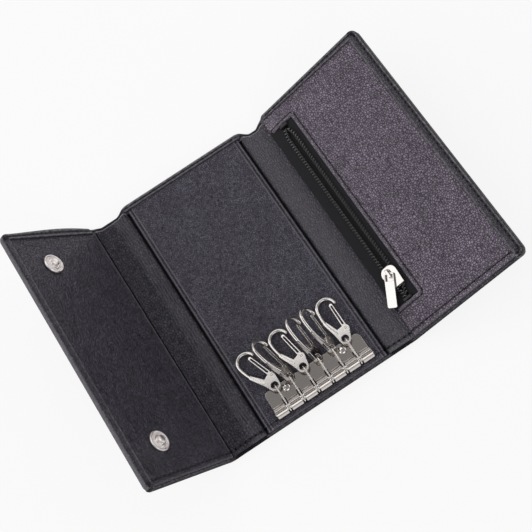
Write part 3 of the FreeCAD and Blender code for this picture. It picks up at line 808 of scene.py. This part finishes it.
# Grid of the cover; each zone is a half width and the step inside it
cover_step = 0.6
rim_zone = (0.6, 0.08)
top_seam_at = 2.2
top_seam_zone = (2.0, 0.15)
mouth_seam_at = 1.8
mouth_seam_zone = (1.6, 0.2)
side_rim_zone = (0.3, 0.08)
side_seam_at = 2.5
side_seam_zone = (2.2, 0.15)
fold_zone = (3.6, 0.3)
socket_cut_radius = 2.9
cover_ys = lines(y_bottom, y_top, cover_step, [
    (y_top, *rim_zone), (y_top - top_seam_at, *top_seam_zone),
    (y_bottom, *rim_zone), (y_bottom + mouth_seam_at, *mouth_seam_zone)])


def side_zones(end_x, inward):
    """Closer grid lines along an end of the case."""
    return [(end_x + inward * side_rim_zone[0], *side_rim_zone),
            (end_x + inward * side_seam_at, *side_seam_zone)]


def bent(name, sheet, material, nodes, body=None):
    """Leather in place of some solids, folded to the rest pose at the outer folds, or turned whole with a
    named body, and left fixed in the scene.
    """
    points, faces, tone = sheet
    obj = piece(name, folded(points, body), faces, material, "leather", tone)
    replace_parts(obj, *nodes)
    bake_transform(obj)


def snap_distance(x, y, centre_x):
    """Distance from the nearer of the two snaps at centre_x."""
    return np.minimum(*[np.hypot(x - centre_x, y - stud_y) for stud_y in stud_ys])


def outside_sockets(x, y):
    """True where the leather stays: it is cut away under the sockets' flanges."""
    return snap_distance(x, y, socket_x) > socket_cut_radius


def cover(name, x0, x1, nodes, fold_x, zones=()):
    """Length of the cover from x0 to x1."""
    xs = lines(x0, x1, cover_step, [*zones, (fold_x, *fold_zone)])
    sheet = slab(xs, cover_ys, cover_top, cover_bottom, round_corners, outside_sockets, cover_tone)
    bent(name, sheet, edge_leather, nodes)


left_spine_mid = (left_flap_fold_x + left_spine_fold_x) / 2
right_spine_mid = (right_spine_fold_x + right_panel_fold_x) / 2

cover("cover_left", left_end_x, left_spine_mid, ["outer_cover_left_flap"],
      left_flap_fold_x, side_zones(left_end_x, 1))
cover("cover_middle_left", left_spine_mid, 0.0, ["outer_cover_left_spine", "outer_cover_middle"],
      left_spine_fold_x)
cover("cover_middle_right", 0.0, right_spine_mid, ["outer_cover_right_spine"],
      right_spine_fold_x)
cover("cover_right", right_spine_mid, right_end_x, ["outer_cover_right_panel"],
      right_panel_fold_x, side_zones(right_end_x, -1))


# Inner pieces: what they share

inner_start_y = y_bottom + mouth_step
inner_end_y = y_top - flap_border
stretch_length = 14.0
stretch_start_y = y_top - stretch_length
# Painted highlight along the folded edge of the hem
hem_line_at = 0.5
hem_line_width = 0.35
hem_line_tone = 0.18
gap_width = 0.35
gap_depth = 0.1
# Painted shade in the gap under the border's inner edge
gap_tone = 0.25


def fitted(inset):
    """Warp that carries a piece's top edge to the border, less an inset."""
    def warp(x, y):
        share = smooth((y - stretch_start_y) / (inner_end_y - stretch_start_y))
        return x, y + (y_top - border_at(x) - inset - inner_end_y) * share
    return warp


def hem(x, y):
    """Drop of an inner panel towards its round, sewn lower edge."""
    distance = y - inner_start_y
    return rounding(distance, edge_round) + sewn(distance, x, hem_at)


# Painted highlight along the hem's fold and painted shade in its needle holes
def hem_tone(x, y):
    distance = y - inner_start_y
    line = hem_line_tone * bump(distance - hem_line_at, hem_line_width)
    return line - hole_tone * sewn_shade(distance, x, hem_at)


def border_gap(x, y):
    """1 at the border's inner edge, fading inwards."""
    return bump(np.minimum(from_inner_edge(x, y), 0), gap_width)


def level(z):
    """Flat face at a height."""
    return lambda x, y: np.full_like(x, z)


def carried(name, sheet, material, slot, body, node, sharp=40):
    """Piece on one body, in place of a solid; a sheet is points, faces and perhaps a tone."""
    points, faces, *tone = sheet
    obj = piece(name, folded(points, body), faces, material, slot, *tone, sharp=sharp)
    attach(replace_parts(obj, node), body)
    return obj


wall_bottom = level(inner_z - wall_thickness)
inner_step = 0.8
hem_edge_zone = (0.6, 0.1)
hem_zone = (1.2, 0.18)
top_edge_at = 0.5
top_edge_zone = (0.6, 0.15)
inner_ys = lines(inner_start_y, inner_end_y, inner_step, [
    (inner_start_y, *hem_edge_zone), (inner_start_y + hem_at, *hem_zone),
    (inner_end_y - top_edge_at, *top_edge_zone)])


# Facing of the snap flap, whose edge along the fold is turned and free

facing_edge_round = 0.45
# Painted highlight along the facing's turned edge at the fold
facing_line_at = 0.3
facing_line_width = 0.34
facing_line_tone = 0.85
facing_seam_at = 1.7
facing_seam_width = 0.35
facing_seam_depth = 0.08
stud_seat_radius = 5.0
stud_seat_width = 0.9
stud_seat_depth = 0.25
facing_loose = 0.14
facing_wave_length = 24.0
facing_wrinkle = 0.05
facing_wrinkle_length = 5.0
facing_run_share = 0.5
facing_edge_at = 1.0
facing_edge_zone = (1.2, 0.15)
fold_gap = 0.1


def facing_top(x, y):
    from_fold = left_flap_fold_x - x
    studs = snap_distance(x, y, stud_x)
    z = inner_z - hem(x, y) - rounding(from_fold, facing_edge_round)
    z = z - facing_seam_depth * bump(from_fold - facing_seam_at, facing_seam_width)
    z = z - gap_depth * border_gap(x, y)
    z = z - stud_seat_depth * bump(studs - stud_seat_radius, stud_seat_width)
    loose = smooth((studs - stud_seat_radius) / stud_seat_radius) * smooth(from_fold / stud_seat_radius)
    z = z - loose * facing_loose * (1 + ripple(x, y, facing_wave_length, seed=11)) / 2
    return z + loose * facing_wrinkle * ripple(x, facing_run_share * y, facing_wrinkle_length, seed=12)


# Painted light and shade of the facing: highlight along the fold edge, with the hem's highlight and the shade
# in the holes and the border gap
def facing_tone(x, y):
    from_fold = left_flap_fold_x - x
    line = facing_line_tone * bump(from_fold - facing_line_at, facing_line_width)
    return hem_tone(x, y) + line - gap_tone * border_gap(x, y)


facing_xs = lines(left_end_x + left_side_border - tuck, left_flap_fold_x - fold_gap, inner_step,
                  [(left_flap_fold_x - facing_edge_at, *facing_edge_zone)])
facing = slab(facing_xs, inner_ys, facing_top, wall_bottom, fitted(-tuck), tone=facing_tone)
carried("flap_facing", facing, facing_leather, "leather", "left_flap", "left_flap_facing")


# Inner leather of the spines, which runs under the key panel and into the card slot

crest_offset = 4.4
crest_x = left_spine_fold_x - crest_offset
crest_half = 4.6
crest_blend = 3.4
crest_height = 0.5
wrinkle_pitch = 1.25
wrinkle_height = 0.24
wrinkle_wander = 0.35
wrinkle_wander_length = 14.0
wrinkle_run_length = 6.0
wrinkle_run_share = 0.5
right_wrinkle_share = 0.25
band_before = 1.0
band_after = 2.0
lining_sink = 0.05
lining_wave = 0.06
lining_wave_length = 18.0
fold_line_depth = 0.6
fold_line_width = 0.55
# Painted shade along the fold lines
fold_line_tone = 1.0
flap_gap_width = 0.4
# Painted highlight along the lining's top edge
lining_edge_line = 0.3
lining_edge_tone = 0.9
# Painted shade over the valley of the left spine
valley_tone = 0.15
valley_reach = 2.0
valley_blend = 1.5
# Painted highlights on the crest's wrinkles and over the right spine
crest_tone = 0.11
right_spine_tone = 0.21
lining_step = 1.2
left_wrinkle_shift = 1.0
left_wrinkle_zone = (10.0, 0.25)
right_wrinkle_shift = 2.0
right_wrinkle_zone = (5.0, 0.25)


def crest(x):
    """Swollen band of the left spine beside the key panel."""
    return within(x, crest_x - crest_half, crest_x + crest_half, crest_blend)


def right_band(x):
    """Faintly wrinkled band over the right spine."""
    start = right_spine_fold_x - band_before
    end = right_panel_fold_x + band_after
    return right_wrinkle_share * within(x, start, end, crest_blend)


def wrinkles(x, y):
    """Narrow wrinkles along the spine that come and go, from -1 to 1."""
    wander = x + wrinkle_wander * ripple(x, y, wrinkle_wander_length, seed=21)
    strength = (1 + ripple(x, wrinkle_run_share * y, wrinkle_run_length, seed=22)) / 2
    return np.cos(2 * pi * wander / wrinkle_pitch) * strength


def lining_top(x, y):
    z = inner_z - lining_sink - hem(x, y) - lining_wave * (1 + ripple(x, y, lining_wave_length, seed=23))
    for fold_x in (left_spine_fold_x, right_spine_fold_x):
        z = z - fold_line_depth * bump(x - fold_x, fold_line_width)
    z = z + crest_height * crest(x)
    return z + wrinkle_height * (crest(x) + right_band(x)) * wrinkles(x, y)


# Painted light and shade of the inner leather: highlights on its top edge, the crest and the right spine;
# shade along the folds, in the valley and in the hem's holes
def lining_tone(x, y):
    edge = y_top - border_at(x) - y
    line = lining_edge_tone * bump(edge - lining_edge_line, lining_edge_line)
    valley = valley_tone * within(x, left_flap_fold_x - valley_reach, crest_x - crest_half + valley_reach,
                                  valley_blend)
    for line_x, width in ((left_flap_fold_x, flap_gap_width), (left_spine_fold_x, fold_line_width),
                          (right_spine_fold_x, fold_line_width)):
        valley = valley + fold_line_tone * bump(x - line_x, width)
    light = crest_tone * crest(x) * (1 + wrinkles(x, y))
    light = light + right_spine_tone * right_band(x) / right_wrinkle_share
    return hem_tone(x, y) + line + light - valley * smooth(edge)


def lining(name, x0, x1, zone, nodes, body=None):
    """Length of the inner leather from x0 to x1; a body's name leaves it flat at the outer folds."""
    sheet = slab(lines(x0, x1, lining_step, [zone]), inner_ys, lining_top, wall_bottom, fitted(0.0),
                 tone=lining_tone)
    bent(name, sheet, spine_leather, nodes, body)


left_wrinkles = (left_spine_mid + left_wrinkle_shift, *left_wrinkle_zone)
middle_wrinkles = (right_spine_fold_x + right_wrinkle_shift, *right_wrinkle_zone)
right_wrinkles = (right_panel_fold_x - right_wrinkle_shift, *right_wrinkle_zone)
lining("lining_left", left_flap_fold_x + fold_gap, 0.0, left_wrinkles,
       ["inner_wall_left_spine", "inner_wall_middle"],
       body="left_spine")
lining("lining_middle", 0.0, right_spine_mid, middle_wrinkles,
       ["inner_wall_right_spine"], body="right_spine")
lining("lining_right", right_spine_mid, right_end_x - right_side_border, right_wrinkles,
       ["inner_wall_right_panel"])


# Raised panel under the keys, with a lower strip along both sides

panel_edge_round = 0.35
# Painted highlights along the panel's edges and painted shade in the crease beside them
panel_line_width = 0.25
panel_line_tone = 0.6
panel_crease_tone = 0.5
panel_hem_drop = 0.3
panel_wave = 0.12
panel_wave_length = 30.0
plate_clear_y = -30.0
plate_clear_blend = 14.0
panel_step = 1.0
panel_edge_at = 1.5
panel_edge_zone = (1.6, 0.12)


def panel_top(x, y):
    side = key_panel_half - np.abs(x)
    inside = side - key_panel_step_width
    z = key_panel_top - hem(x, y) - gap_depth * border_gap(x, y)
    strip = z - key_panel_step_drop - rounding(side, panel_edge_round)
    z = np.where(inside < 0, strip, z - rounding(inside, panel_edge_round))
    z = z - panel_hem_drop * smooth((hem_at - y + inner_start_y) / hem_at)
    clear = smooth((y - plate_clear_y) / plate_clear_blend)
    return z - clear * panel_wave * (1 + ripple(x, y, panel_wave_length, seed=31)) / 2


# Painted light and shade of the key panel: highlights on its edges, shade in the crease, the hem's holes and
# the border gap
def panel_tone(x, y):
    side = key_panel_half - np.abs(x)
    inside = side - key_panel_step_width
    edges = sum(bump(edge - panel_line_width, panel_line_width) for edge in (side, inside))
    crease = bump(inside + 2 * panel_line_width, panel_line_width)
    return hem_tone(x, y) + panel_line_tone * edges - panel_crease_tone * crease - gap_tone * border_gap(x, y)


panel_xs = lines(-key_panel_half, key_panel_half, panel_step,
                 [(side * (key_panel_half - panel_edge_at), *panel_edge_zone) for side in (-1, 1)])
panel = slab(panel_xs, inner_ys, panel_top, level(inner_z), fitted(-tuck), tone=panel_tone)
carried("key_panel_leather", panel, fine_leather, "leather", "middle", "key_panel")


# Coin pocket on the right panel

pocket_x0 = right_panel_fold_x + pocket_start
pocket_x1 = right_end_x - right_side_border + tuck
window_x = right_panel_fold_x + window_edge
window_seam = 1.9
window_rim = 0.55
window_roll_at = 0.8
window_roll_width = 0.5
window_roll_height = 0.14
# Painted highlight along the window's rolled edge
window_line_tone = 0.2
fold_side_share = 0.25
fold_side_blend = 5.0
slant_height = 0.14
slant_pitch = 7.5
slant_from_end = 14.0
slant_from_mouth = 18.0
slant_x = right_end_x - slant_from_end
slant_y = y_bottom + slant_from_mouth
slant_reach = 18.0
slant_shares = (0.8, 0.6)
slant_wander = 0.8
slant_wander_length = 20.0
pocket_loose = 0.35
pocket_wave_length = 22.0
# Painted sheen on a smooth patch by the fold above the window
patch_from_fold = 3.4
patch_above_window = 4.6
patch_x = pocket_x0 + patch_from_fold
patch_y = window_top_y + patch_above_window
patch_reach = 3.4
patch_tone = 0.2
pocket_end_lead = 1.0
pocket_step = 0.6
window_zone_at = 1.2
window_zone = (1.4, 0.15)
pocket_side_at = 1.0
pocket_side_zone = (1.0, 0.2)
pocket_hem_at = 1.5
pocket_hem_zone = (1.6, 0.15)


def window_distance(x, y):
    """Distance out from the zip window's edge."""
    beside = x - window_x
    past_end = np.maximum(window_bottom_y - y, y - window_top_y)
    return np.where((beside > 0) & (past_end > 0), np.hypot(beside, past_end), np.maximum(beside, past_end))


def along_window(x, y):
    past_end = np.maximum(window_bottom_y - y, y - window_top_y)
    return np.where(past_end > x - window_x, x, y)


def pocket_top(x, y):
    from_side = pocket_x1 - tuck - x
    from_end = np.minimum(y - inner_start_y, y_top - border_at(x) - y)
    crown = smooth((from_side - pocket_seam) / pocket_side_slope)
    crown = crown * smooth((from_end - pocket_seam + pocket_end_lead) / pocket_end_slope)
    crown = crown * (fold_side_share + (1 - fold_side_share) * smooth((x - pocket_x0) / fold_side_blend))
    window = window_distance(x, y)
    z = pocket_edge_z + pocket_rise * crown - hem(x, y) - gap_depth * border_gap(x, y)
    z = z - rounding(window, window_rim)
    z = z + window_roll_height * bump(window - window_roll_at, window_roll_width)
    z = z - sewn(window, along_window(x, y), window_seam)
    lower_right = bump(x - slant_x, slant_reach) * bump(y - slant_y, slant_reach)
    slant = slant_shares[0] * x + slant_shares[1] * y
    slant = slant + slant_wander * ripple(x, y, slant_wander_length, seed=41)
    z = z + slant_height * lower_right * np.cos(2 * pi * slant / slant_pitch)
    loose = smooth(window / pocket_seam) * smooth(from_side / pocket_seam)
    return z - loose * pocket_loose * (1 + ripple(x, y, pocket_wave_length, seed=42)) / 2


# Painted light and shade of the pocket: highlight along the window's roll, shade in its needle holes, sheen
# on the patch above it
def pocket_tone(x, y):
    window = window_distance(x, y)
    tone = window_line_tone * bump(window - window_roll_at, window_roll_width)
    tone = tone - hole_tone * sewn_shade(window, along_window(x, y), window_seam)
    tone = tone + patch_tone * bump(x - patch_x, patch_reach) * bump(y - patch_y, patch_reach)
    return tone + hem_tone(x, y) - gap_tone * border_gap(x, y)


def pocket_bottom(x, y):
    return pocket_top(x, y) - pocket_thickness


def outside_window(x, y):
    return window_distance(x, y) > 0


pocket_xs = lines(pocket_x0, pocket_x1, pocket_step, [
    (window_x + window_zone_at, *window_zone), (pocket_x1 - pocket_side_at, *pocket_side_zone)])
pocket_ys = lines(inner_start_y, inner_end_y, pocket_step, [
    (inner_start_y + pocket_hem_at, *pocket_hem_zone), (window_bottom_y - window_zone_at, *window_zone),
    (window_top_y + window_zone_at, *window_zone), (inner_end_y - top_edge_at, *top_edge_zone)])
front = slab(pocket_xs, pocket_ys, pocket_top, pocket_bottom, fitted(-tuck), outside_window, pocket_tone)
pocket_front = carried("pocket_front", front, pebble_leather, "leather", "right_panel", "coin_pocket_front")


# Lining of the coin pocket, with a lip under the zip tape

lip_width = 2.2
lip_blend = 0.8
lining_cloth_wave = 0.03
lining_cloth_length = 12.0
lip_zone_at = 1.5
lip_zone = (1.5, 0.2)


def pocket_lining_top(x, y):
    inside = np.minimum(y - window_bottom_y + tape_end_cover, window_top_y + tape_end_cover - y)
    lip = smooth((pocket_x0 + lip_width - x) / lip_blend) * smooth(inside / lip_blend)
    wave = lining_cloth_wave * (1 + ripple(x, y, lining_cloth_length, seed=51))
    return coin_floor_z + (tape_z - coin_floor_z) * lip - wave


lining_xs = lines(pocket_x0, pocket_x1, lining_step, [(pocket_x0 + lip_zone_at, *lip_zone)])
back = slab(lining_xs, inner_ys, pocket_lining_top, level(pocket_back_z), fitted(-tuck))
pocket_lining = carried("pocket_lining", back[:2], lining_cloth, "lining", "right_panel", "coin_pocket_back")


# Zip tapes and coils

tape_near_share = 0.75
tape_wave = 0.05
tape_wave_length = 7.0
tape_step = 0.8
tape_columns = 12
wire_radius = 0.24
coil_points = 16
coil_sides = 8


def row_offset(y):
    """Distance from the zip's centre line to the inner side of a coil."""
    opened = smooth((y - (slider_tail_y - row_bottom_ramp)) / row_bottom_ramp)
    closing = smooth((y - (row_top_y - row_top_ramp)) / row_top_ramp)
    return row_closed + (row_open - row_closed) * np.minimum(opened, 1 - closing)


tape_ys = lines(window_bottom_y - tape_end_cover, window_top_y + tape_end_cover, tape_step)


def tape(name, side, far, node):
    """Woven tape from a coil out to its sewn edge."""
    def place(share, y):
        near = row_offset(y) + tape_near_share * row_width
        return zip_x + side * (near + share * (far - near)), y

    def top(x, y):
        return tape_z + tape_thickness + tape_wave * ripple(x, y, tape_wave_length, seed=61)

    def bottom(x, y):
        return top(x, y) - tape_thickness

    points, faces, _ = slab(np.linspace(0, 1, tape_columns), tape_ys, top, bottom, place)
    if side < 0:
        faces = faces[:, ::-1]
    carried(name, (points, faces), tape_cloth, "zip_tape", "right_panel", node)


tape("tape_left", -1, zip_x - pocket_x0, "zip_tape_left")
tape("tape_right", 1, window_x + tape_overlap - zip_x, "zip_tape_right")


def coil(name, side, node):
    """Nylon monofilament wound along the edge of a tape, one flat turn for each tooth."""
    first = row_bottom_y + (wire_radius if side < 0 else wire_radius + tooth_pitch / 2)
    turns = int((row_top_y - 2 * wire_radius - first) / tooth_pitch)
    step = np.arange(turns * coil_points + 1) / coil_points
    y = first + tooth_pitch * step
    angle = 2 * pi * step
    across = row_width / 2 - wire_radius
    rise = tooth_height / 2 - wire_radius
    x = zip_x + side * (row_offset(y) + row_width / 2 - across * np.cos(angle))
    z = tape_z + tape_thickness + tooth_height / 2 + rise * np.sin(angle)
    wire = tube(np.stack([x, y, z], 1), wire_radius, coil_sides)
    carried(name, wire, coil_nylon, "zip_teeth", "right_panel", node)


coil("coil_left", -1, "zip_teeth_left")
coil("coil_right", 1, "zip_teeth_right")


# Stitches, on both faces of the case

stitch_arch = np.array([-0.10, 0.06, 0.12, 0.14, 0.12, 0.06, -0.10])
stitch_taper_shares = np.array([0.6, 0.9, 1, 1, 1, 0.9, 0.6])
stitch_steps = stitch_length * np.linspace(-0.5, 0.5, len(stitch_arch))
stitch_sides = 6


def stitch_row(direction, at, start, end, height, side=1):
    """Short rounded stitches along x or y, on the upper or lower face of a piece."""
    parts = []
    for index in range(ceil(start / stitch_pitch), floor(end / stitch_pitch) + 1):
        steps = stitch_pitch * index + stitch_steps
        fixed = np.full_like(steps, at)
        x, y = (steps, fixed) if direction == "x" else (fixed, steps)
        z = height(x, y) + side * stitch_arch
        parts.append(tube(np.stack([x, y, z], 1), stitch_radius * stitch_taper_shares, stitch_sides))
    return parts


top_row_y = y_top - groove_at
mouth_row_y = y_bottom + groove_at
hem_row_y = inner_start_y + hem_at
corner_stop = 4.2
fold_stop = 2.2
pocket_row_lead = 1.0
pocket_row_x = pocket_x0 + pocket_row_lead
flap_span = (left_end_x + corner_stop, left_flap_fold_x - fold_stop)
left_spine_span = (left_flap_fold_x + fold_stop, left_spine_fold_x - fold_stop)
middle_span = (left_spine_fold_x + fold_stop, right_spine_fold_x - fold_stop)
right_spine_span = (right_spine_fold_x + fold_stop, right_panel_fold_x - fold_stop)
panel_start = right_panel_fold_x + fold_stop
panel_end = right_end_x - corner_stop


def outer_rows(x0, x1):
    """Rows on the outer face, along the top edge and the mouth."""
    return [("x", top_row_y, x0, x1, cover_bottom, -1), ("x", mouth_row_y, x0, x1, cover_bottom, -1)]


def end_row(x, height, side=1):
    """Row along an end of the case."""
    return "y", x, y_bottom + corner_stop, y_top - corner_stop, height, side


def stitches(name, body, rows):
    points, faces = joined([stitch for row in rows for stitch in stitch_row(*row)])
    obj = piece(name, folded(points, body), faces, thread, "leather")
    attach(obj, body)


stitches("stitches_left_flap", "left_flap", [
    ("x", top_row_y, *flap_span, cover_top),
    ("x", hem_row_y, *flap_span, facing_top),
    end_row(left_end_x + groove_at, cover_bottom, -1),
    *outer_rows(*flap_span)])
stitches("stitches_left_spine", "left_spine", [
    ("x", hem_row_y, *left_spine_span, lining_top),
    *outer_rows(*left_spine_span)])
stitches("stitches_middle", "middle", [
    ("x", top_row_y, *middle_span, cover_top),
    ("x", hem_row_y, fold_stop - key_panel_half, key_panel_half - fold_stop, panel_top),
    *outer_rows(*middle_span)])
stitches("stitches_right_spine", "right_spine", [
    ("x", hem_row_y, *right_spine_span, lining_top),
    *outer_rows(*right_spine_span)])
stitches("stitches_right_panel", "right_panel", [
    ("x", top_row_y, panel_start + fold_stop, panel_end, cover_top),
    ("x", hem_row_y, pocket_row_x, panel_end, pocket_top),
    ("x", window_bottom_y - window_seam, pocket_row_x, window_x, pocket_top),
    ("y", window_x + window_seam, window_bottom_y, window_top_y, pocket_top),
    ("x", window_top_y + window_seam, pocket_row_x, window_x, pocket_top),
    end_row(right_end_x - groove_at, cover_top),
    end_row(right_end_x - groove_at, cover_bottom, -1),
    *outer_rows(panel_start, panel_end)])


# Snap studs: beaded rim, dished ring and rounded post

stud_profile = [(0, 0), (4.55, 0), (4.6, 0.2), (4.5, 0.6), (4.3, 0.85), (4.0, 0.9), (3.75, 0.75), (3.65, 0.5),
                (2.75, 0.42), (2.6, 0.6), (2.35, 0.68), (2.1, 0.6), (1.78, 0.62), (1.55, 0.9), (1.55, 1.15),
                (1.75, 1.6), (1.65, 1.95), (1.25, 2.2), (0, 2.2)]
bead_profile = [(0, 0.35), (0.3, 0.42), (0.32, 0.55), (0.22, 0.7), (0, 0.76)]
bead_count = 26
bead_ring = 3.2
stud_segments = 56
bead_segments = 10
stud_sharp = 35


def snap_stud(y):
    parts = [lathe([(radius, inner_z + z) for radius, z in stud_profile], stud_segments, (stud_x, y))]
    for index in range(bead_count):
        angle = 2 * pi * index / bead_count
        place = (stud_x + bead_ring * cos(angle), y + bead_ring * sin(angle))
        parts.append(lathe([(radius, inner_z + z) for radius, z in bead_profile], bead_segments, place))
    return parts


studs = joined([part for y in stud_ys for part in snap_stud(y)])
carried("snap_studs_beaded", studs, stud_silver, "nickel", "left_flap", "snap_studs", stud_sharp)


# Finishes of the solids that stay

# The key plate takes the darker nickel copy, its painted reflection of the leather
node_finishes = {"key_plate": shaded_plate_nickel, "key_plate_backing": steel, "snap_socket_backs": steel,
                 "zip_end_stops": stop_nylon}
for node_name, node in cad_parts.items():
    if not node.hide_render:
        node.data.materials.clear()
        node.data.materials.append(node_finishes.get(node_name, nickel))


# Floor, light and camera: sizes and distances in metres, apart from floor_z and camera_place

floor_half = 6.0
floor_z = -0.3
floor_color = (0.9, 0.9, 0.9)
floor_roughness = 0.9
floor_specular = 0.1
floor_glow_share = 0.85
horizon_z = 0.2
horizon_level = 0.55
overhead_z = 0.95
overhead_level = 0.28
camera_lens = 70.96
camera_sensor = 36.0
camera_place = Vector((-10.63, -136.53, 424.79))
camera_axes = Matrix(((0.8353, 0.5482, -0.0421), (-0.5325, 0.7875, -0.3104), (-0.1370, 0.2817, 0.9497)))


def seen_share(tree):
    """1 for rays that show the background: straight to the camera, mirrored or passed through."""
    path = tree.nodes.new("ShaderNodeLightPath")
    total = path.outputs["Is Camera Ray"]
    for name in ("Is Glossy Ray", "Is Transmission Ray"):
        total = add_node(tree, "Math", {0: total, 1: path.outputs[name]}, "MAXIMUM").outputs[0]
    return total


def make_floor():
    mesh = bpy.data.meshes.new("floor")
    sides = ((-1, -1), (1, -1), (1, 1), (-1, 1))
    corners = [(x * floor_half, y * floor_half, floor_z * MM) for x, y in sides]
    mesh.from_pydata(corners, [], [(0, 1, 2, 3)])
    obj = bpy.data.objects.new("floor", mesh)
    bpy.context.scene.collection.objects.link(obj)
    material, tree, shader = new_material("floor", floor_color, floor_roughness, specular=floor_specular)
    glow = tree.nodes.new("ShaderNodeEmission")
    share = span(tree, seen_share(tree), 0, floor_glow_share)
    mix = add_node(tree, "MixShader", {"Fac": share, 1: shader.outputs["BSDF"], 2: glow.outputs["Emission"]})
    fill(tree, tree.nodes["Material Output"], {"Surface": mix.outputs["Shader"]})
    mesh.materials.append(material)


def make_world():
    """Pale at the horizon, darker overhead."""
    world = bpy.data.worlds.new("studio")
    bpy.context.scene.world = world
    world.use_nodes = True
    tree = world.node_tree
    place = tree.nodes.new("ShaderNodeTexCoord")
    split = add_node(tree, "SeparateXYZ", {"Vector": place.outputs["Generated"]})
    strength = span(tree, split.outputs["Z"], horizon_level, overhead_level, horizon_z, overhead_z)
    fill(tree, tree.nodes["Background"], {"Color": (1, 1, 1, 1), "Strength": strength})


def softbox(name, direction, distance, size, power):
    light = bpy.data.lights.new(name, "AREA")
    light.shape = "RECTANGLE"
    light.size, light.size_y = size
    light.energy = power
    obj = bpy.data.objects.new(name, light)
    obj.location = Vector(direction).normalized() * distance
    obj.rotation_euler = (-Vector(direction)).to_track_quat("-Z", "Y").to_euler()
    bpy.context.scene.collection.objects.link(obj)


make_floor()
make_world()
softbox("key_light", direction=(-0.74, 0.27, 0.62), distance=0.9, size=(1.2, 1.05), power=4.6)
softbox("top_light", direction=(0.05, 0.65, 0.76), distance=1.0, size=(0.5, 0.55), power=1.0)
softbox("front_light", direction=(0.05, -0.75, 0.66), distance=1.0, size=(0.6, 0.4), power=1.0)
softbox("side_light", direction=(0.85, 0.10, 0.55), distance=1.0, size=(0.5, 0.4), power=1.0)

camera_data = bpy.data.cameras.new("camera")
camera_data.lens = camera_lens
camera_data.sensor_width = camera_sensor
camera = bpy.data.objects.new("camera", camera_data)
bpy.context.scene.collection.objects.link(camera)
camera.matrix_world = Matrix.Translation(camera_place * MM) @ camera_axes.to_4x4()
bpy.context.scene.camera = camera
bpy.context.scene.view_settings.view_transform = "Standard"
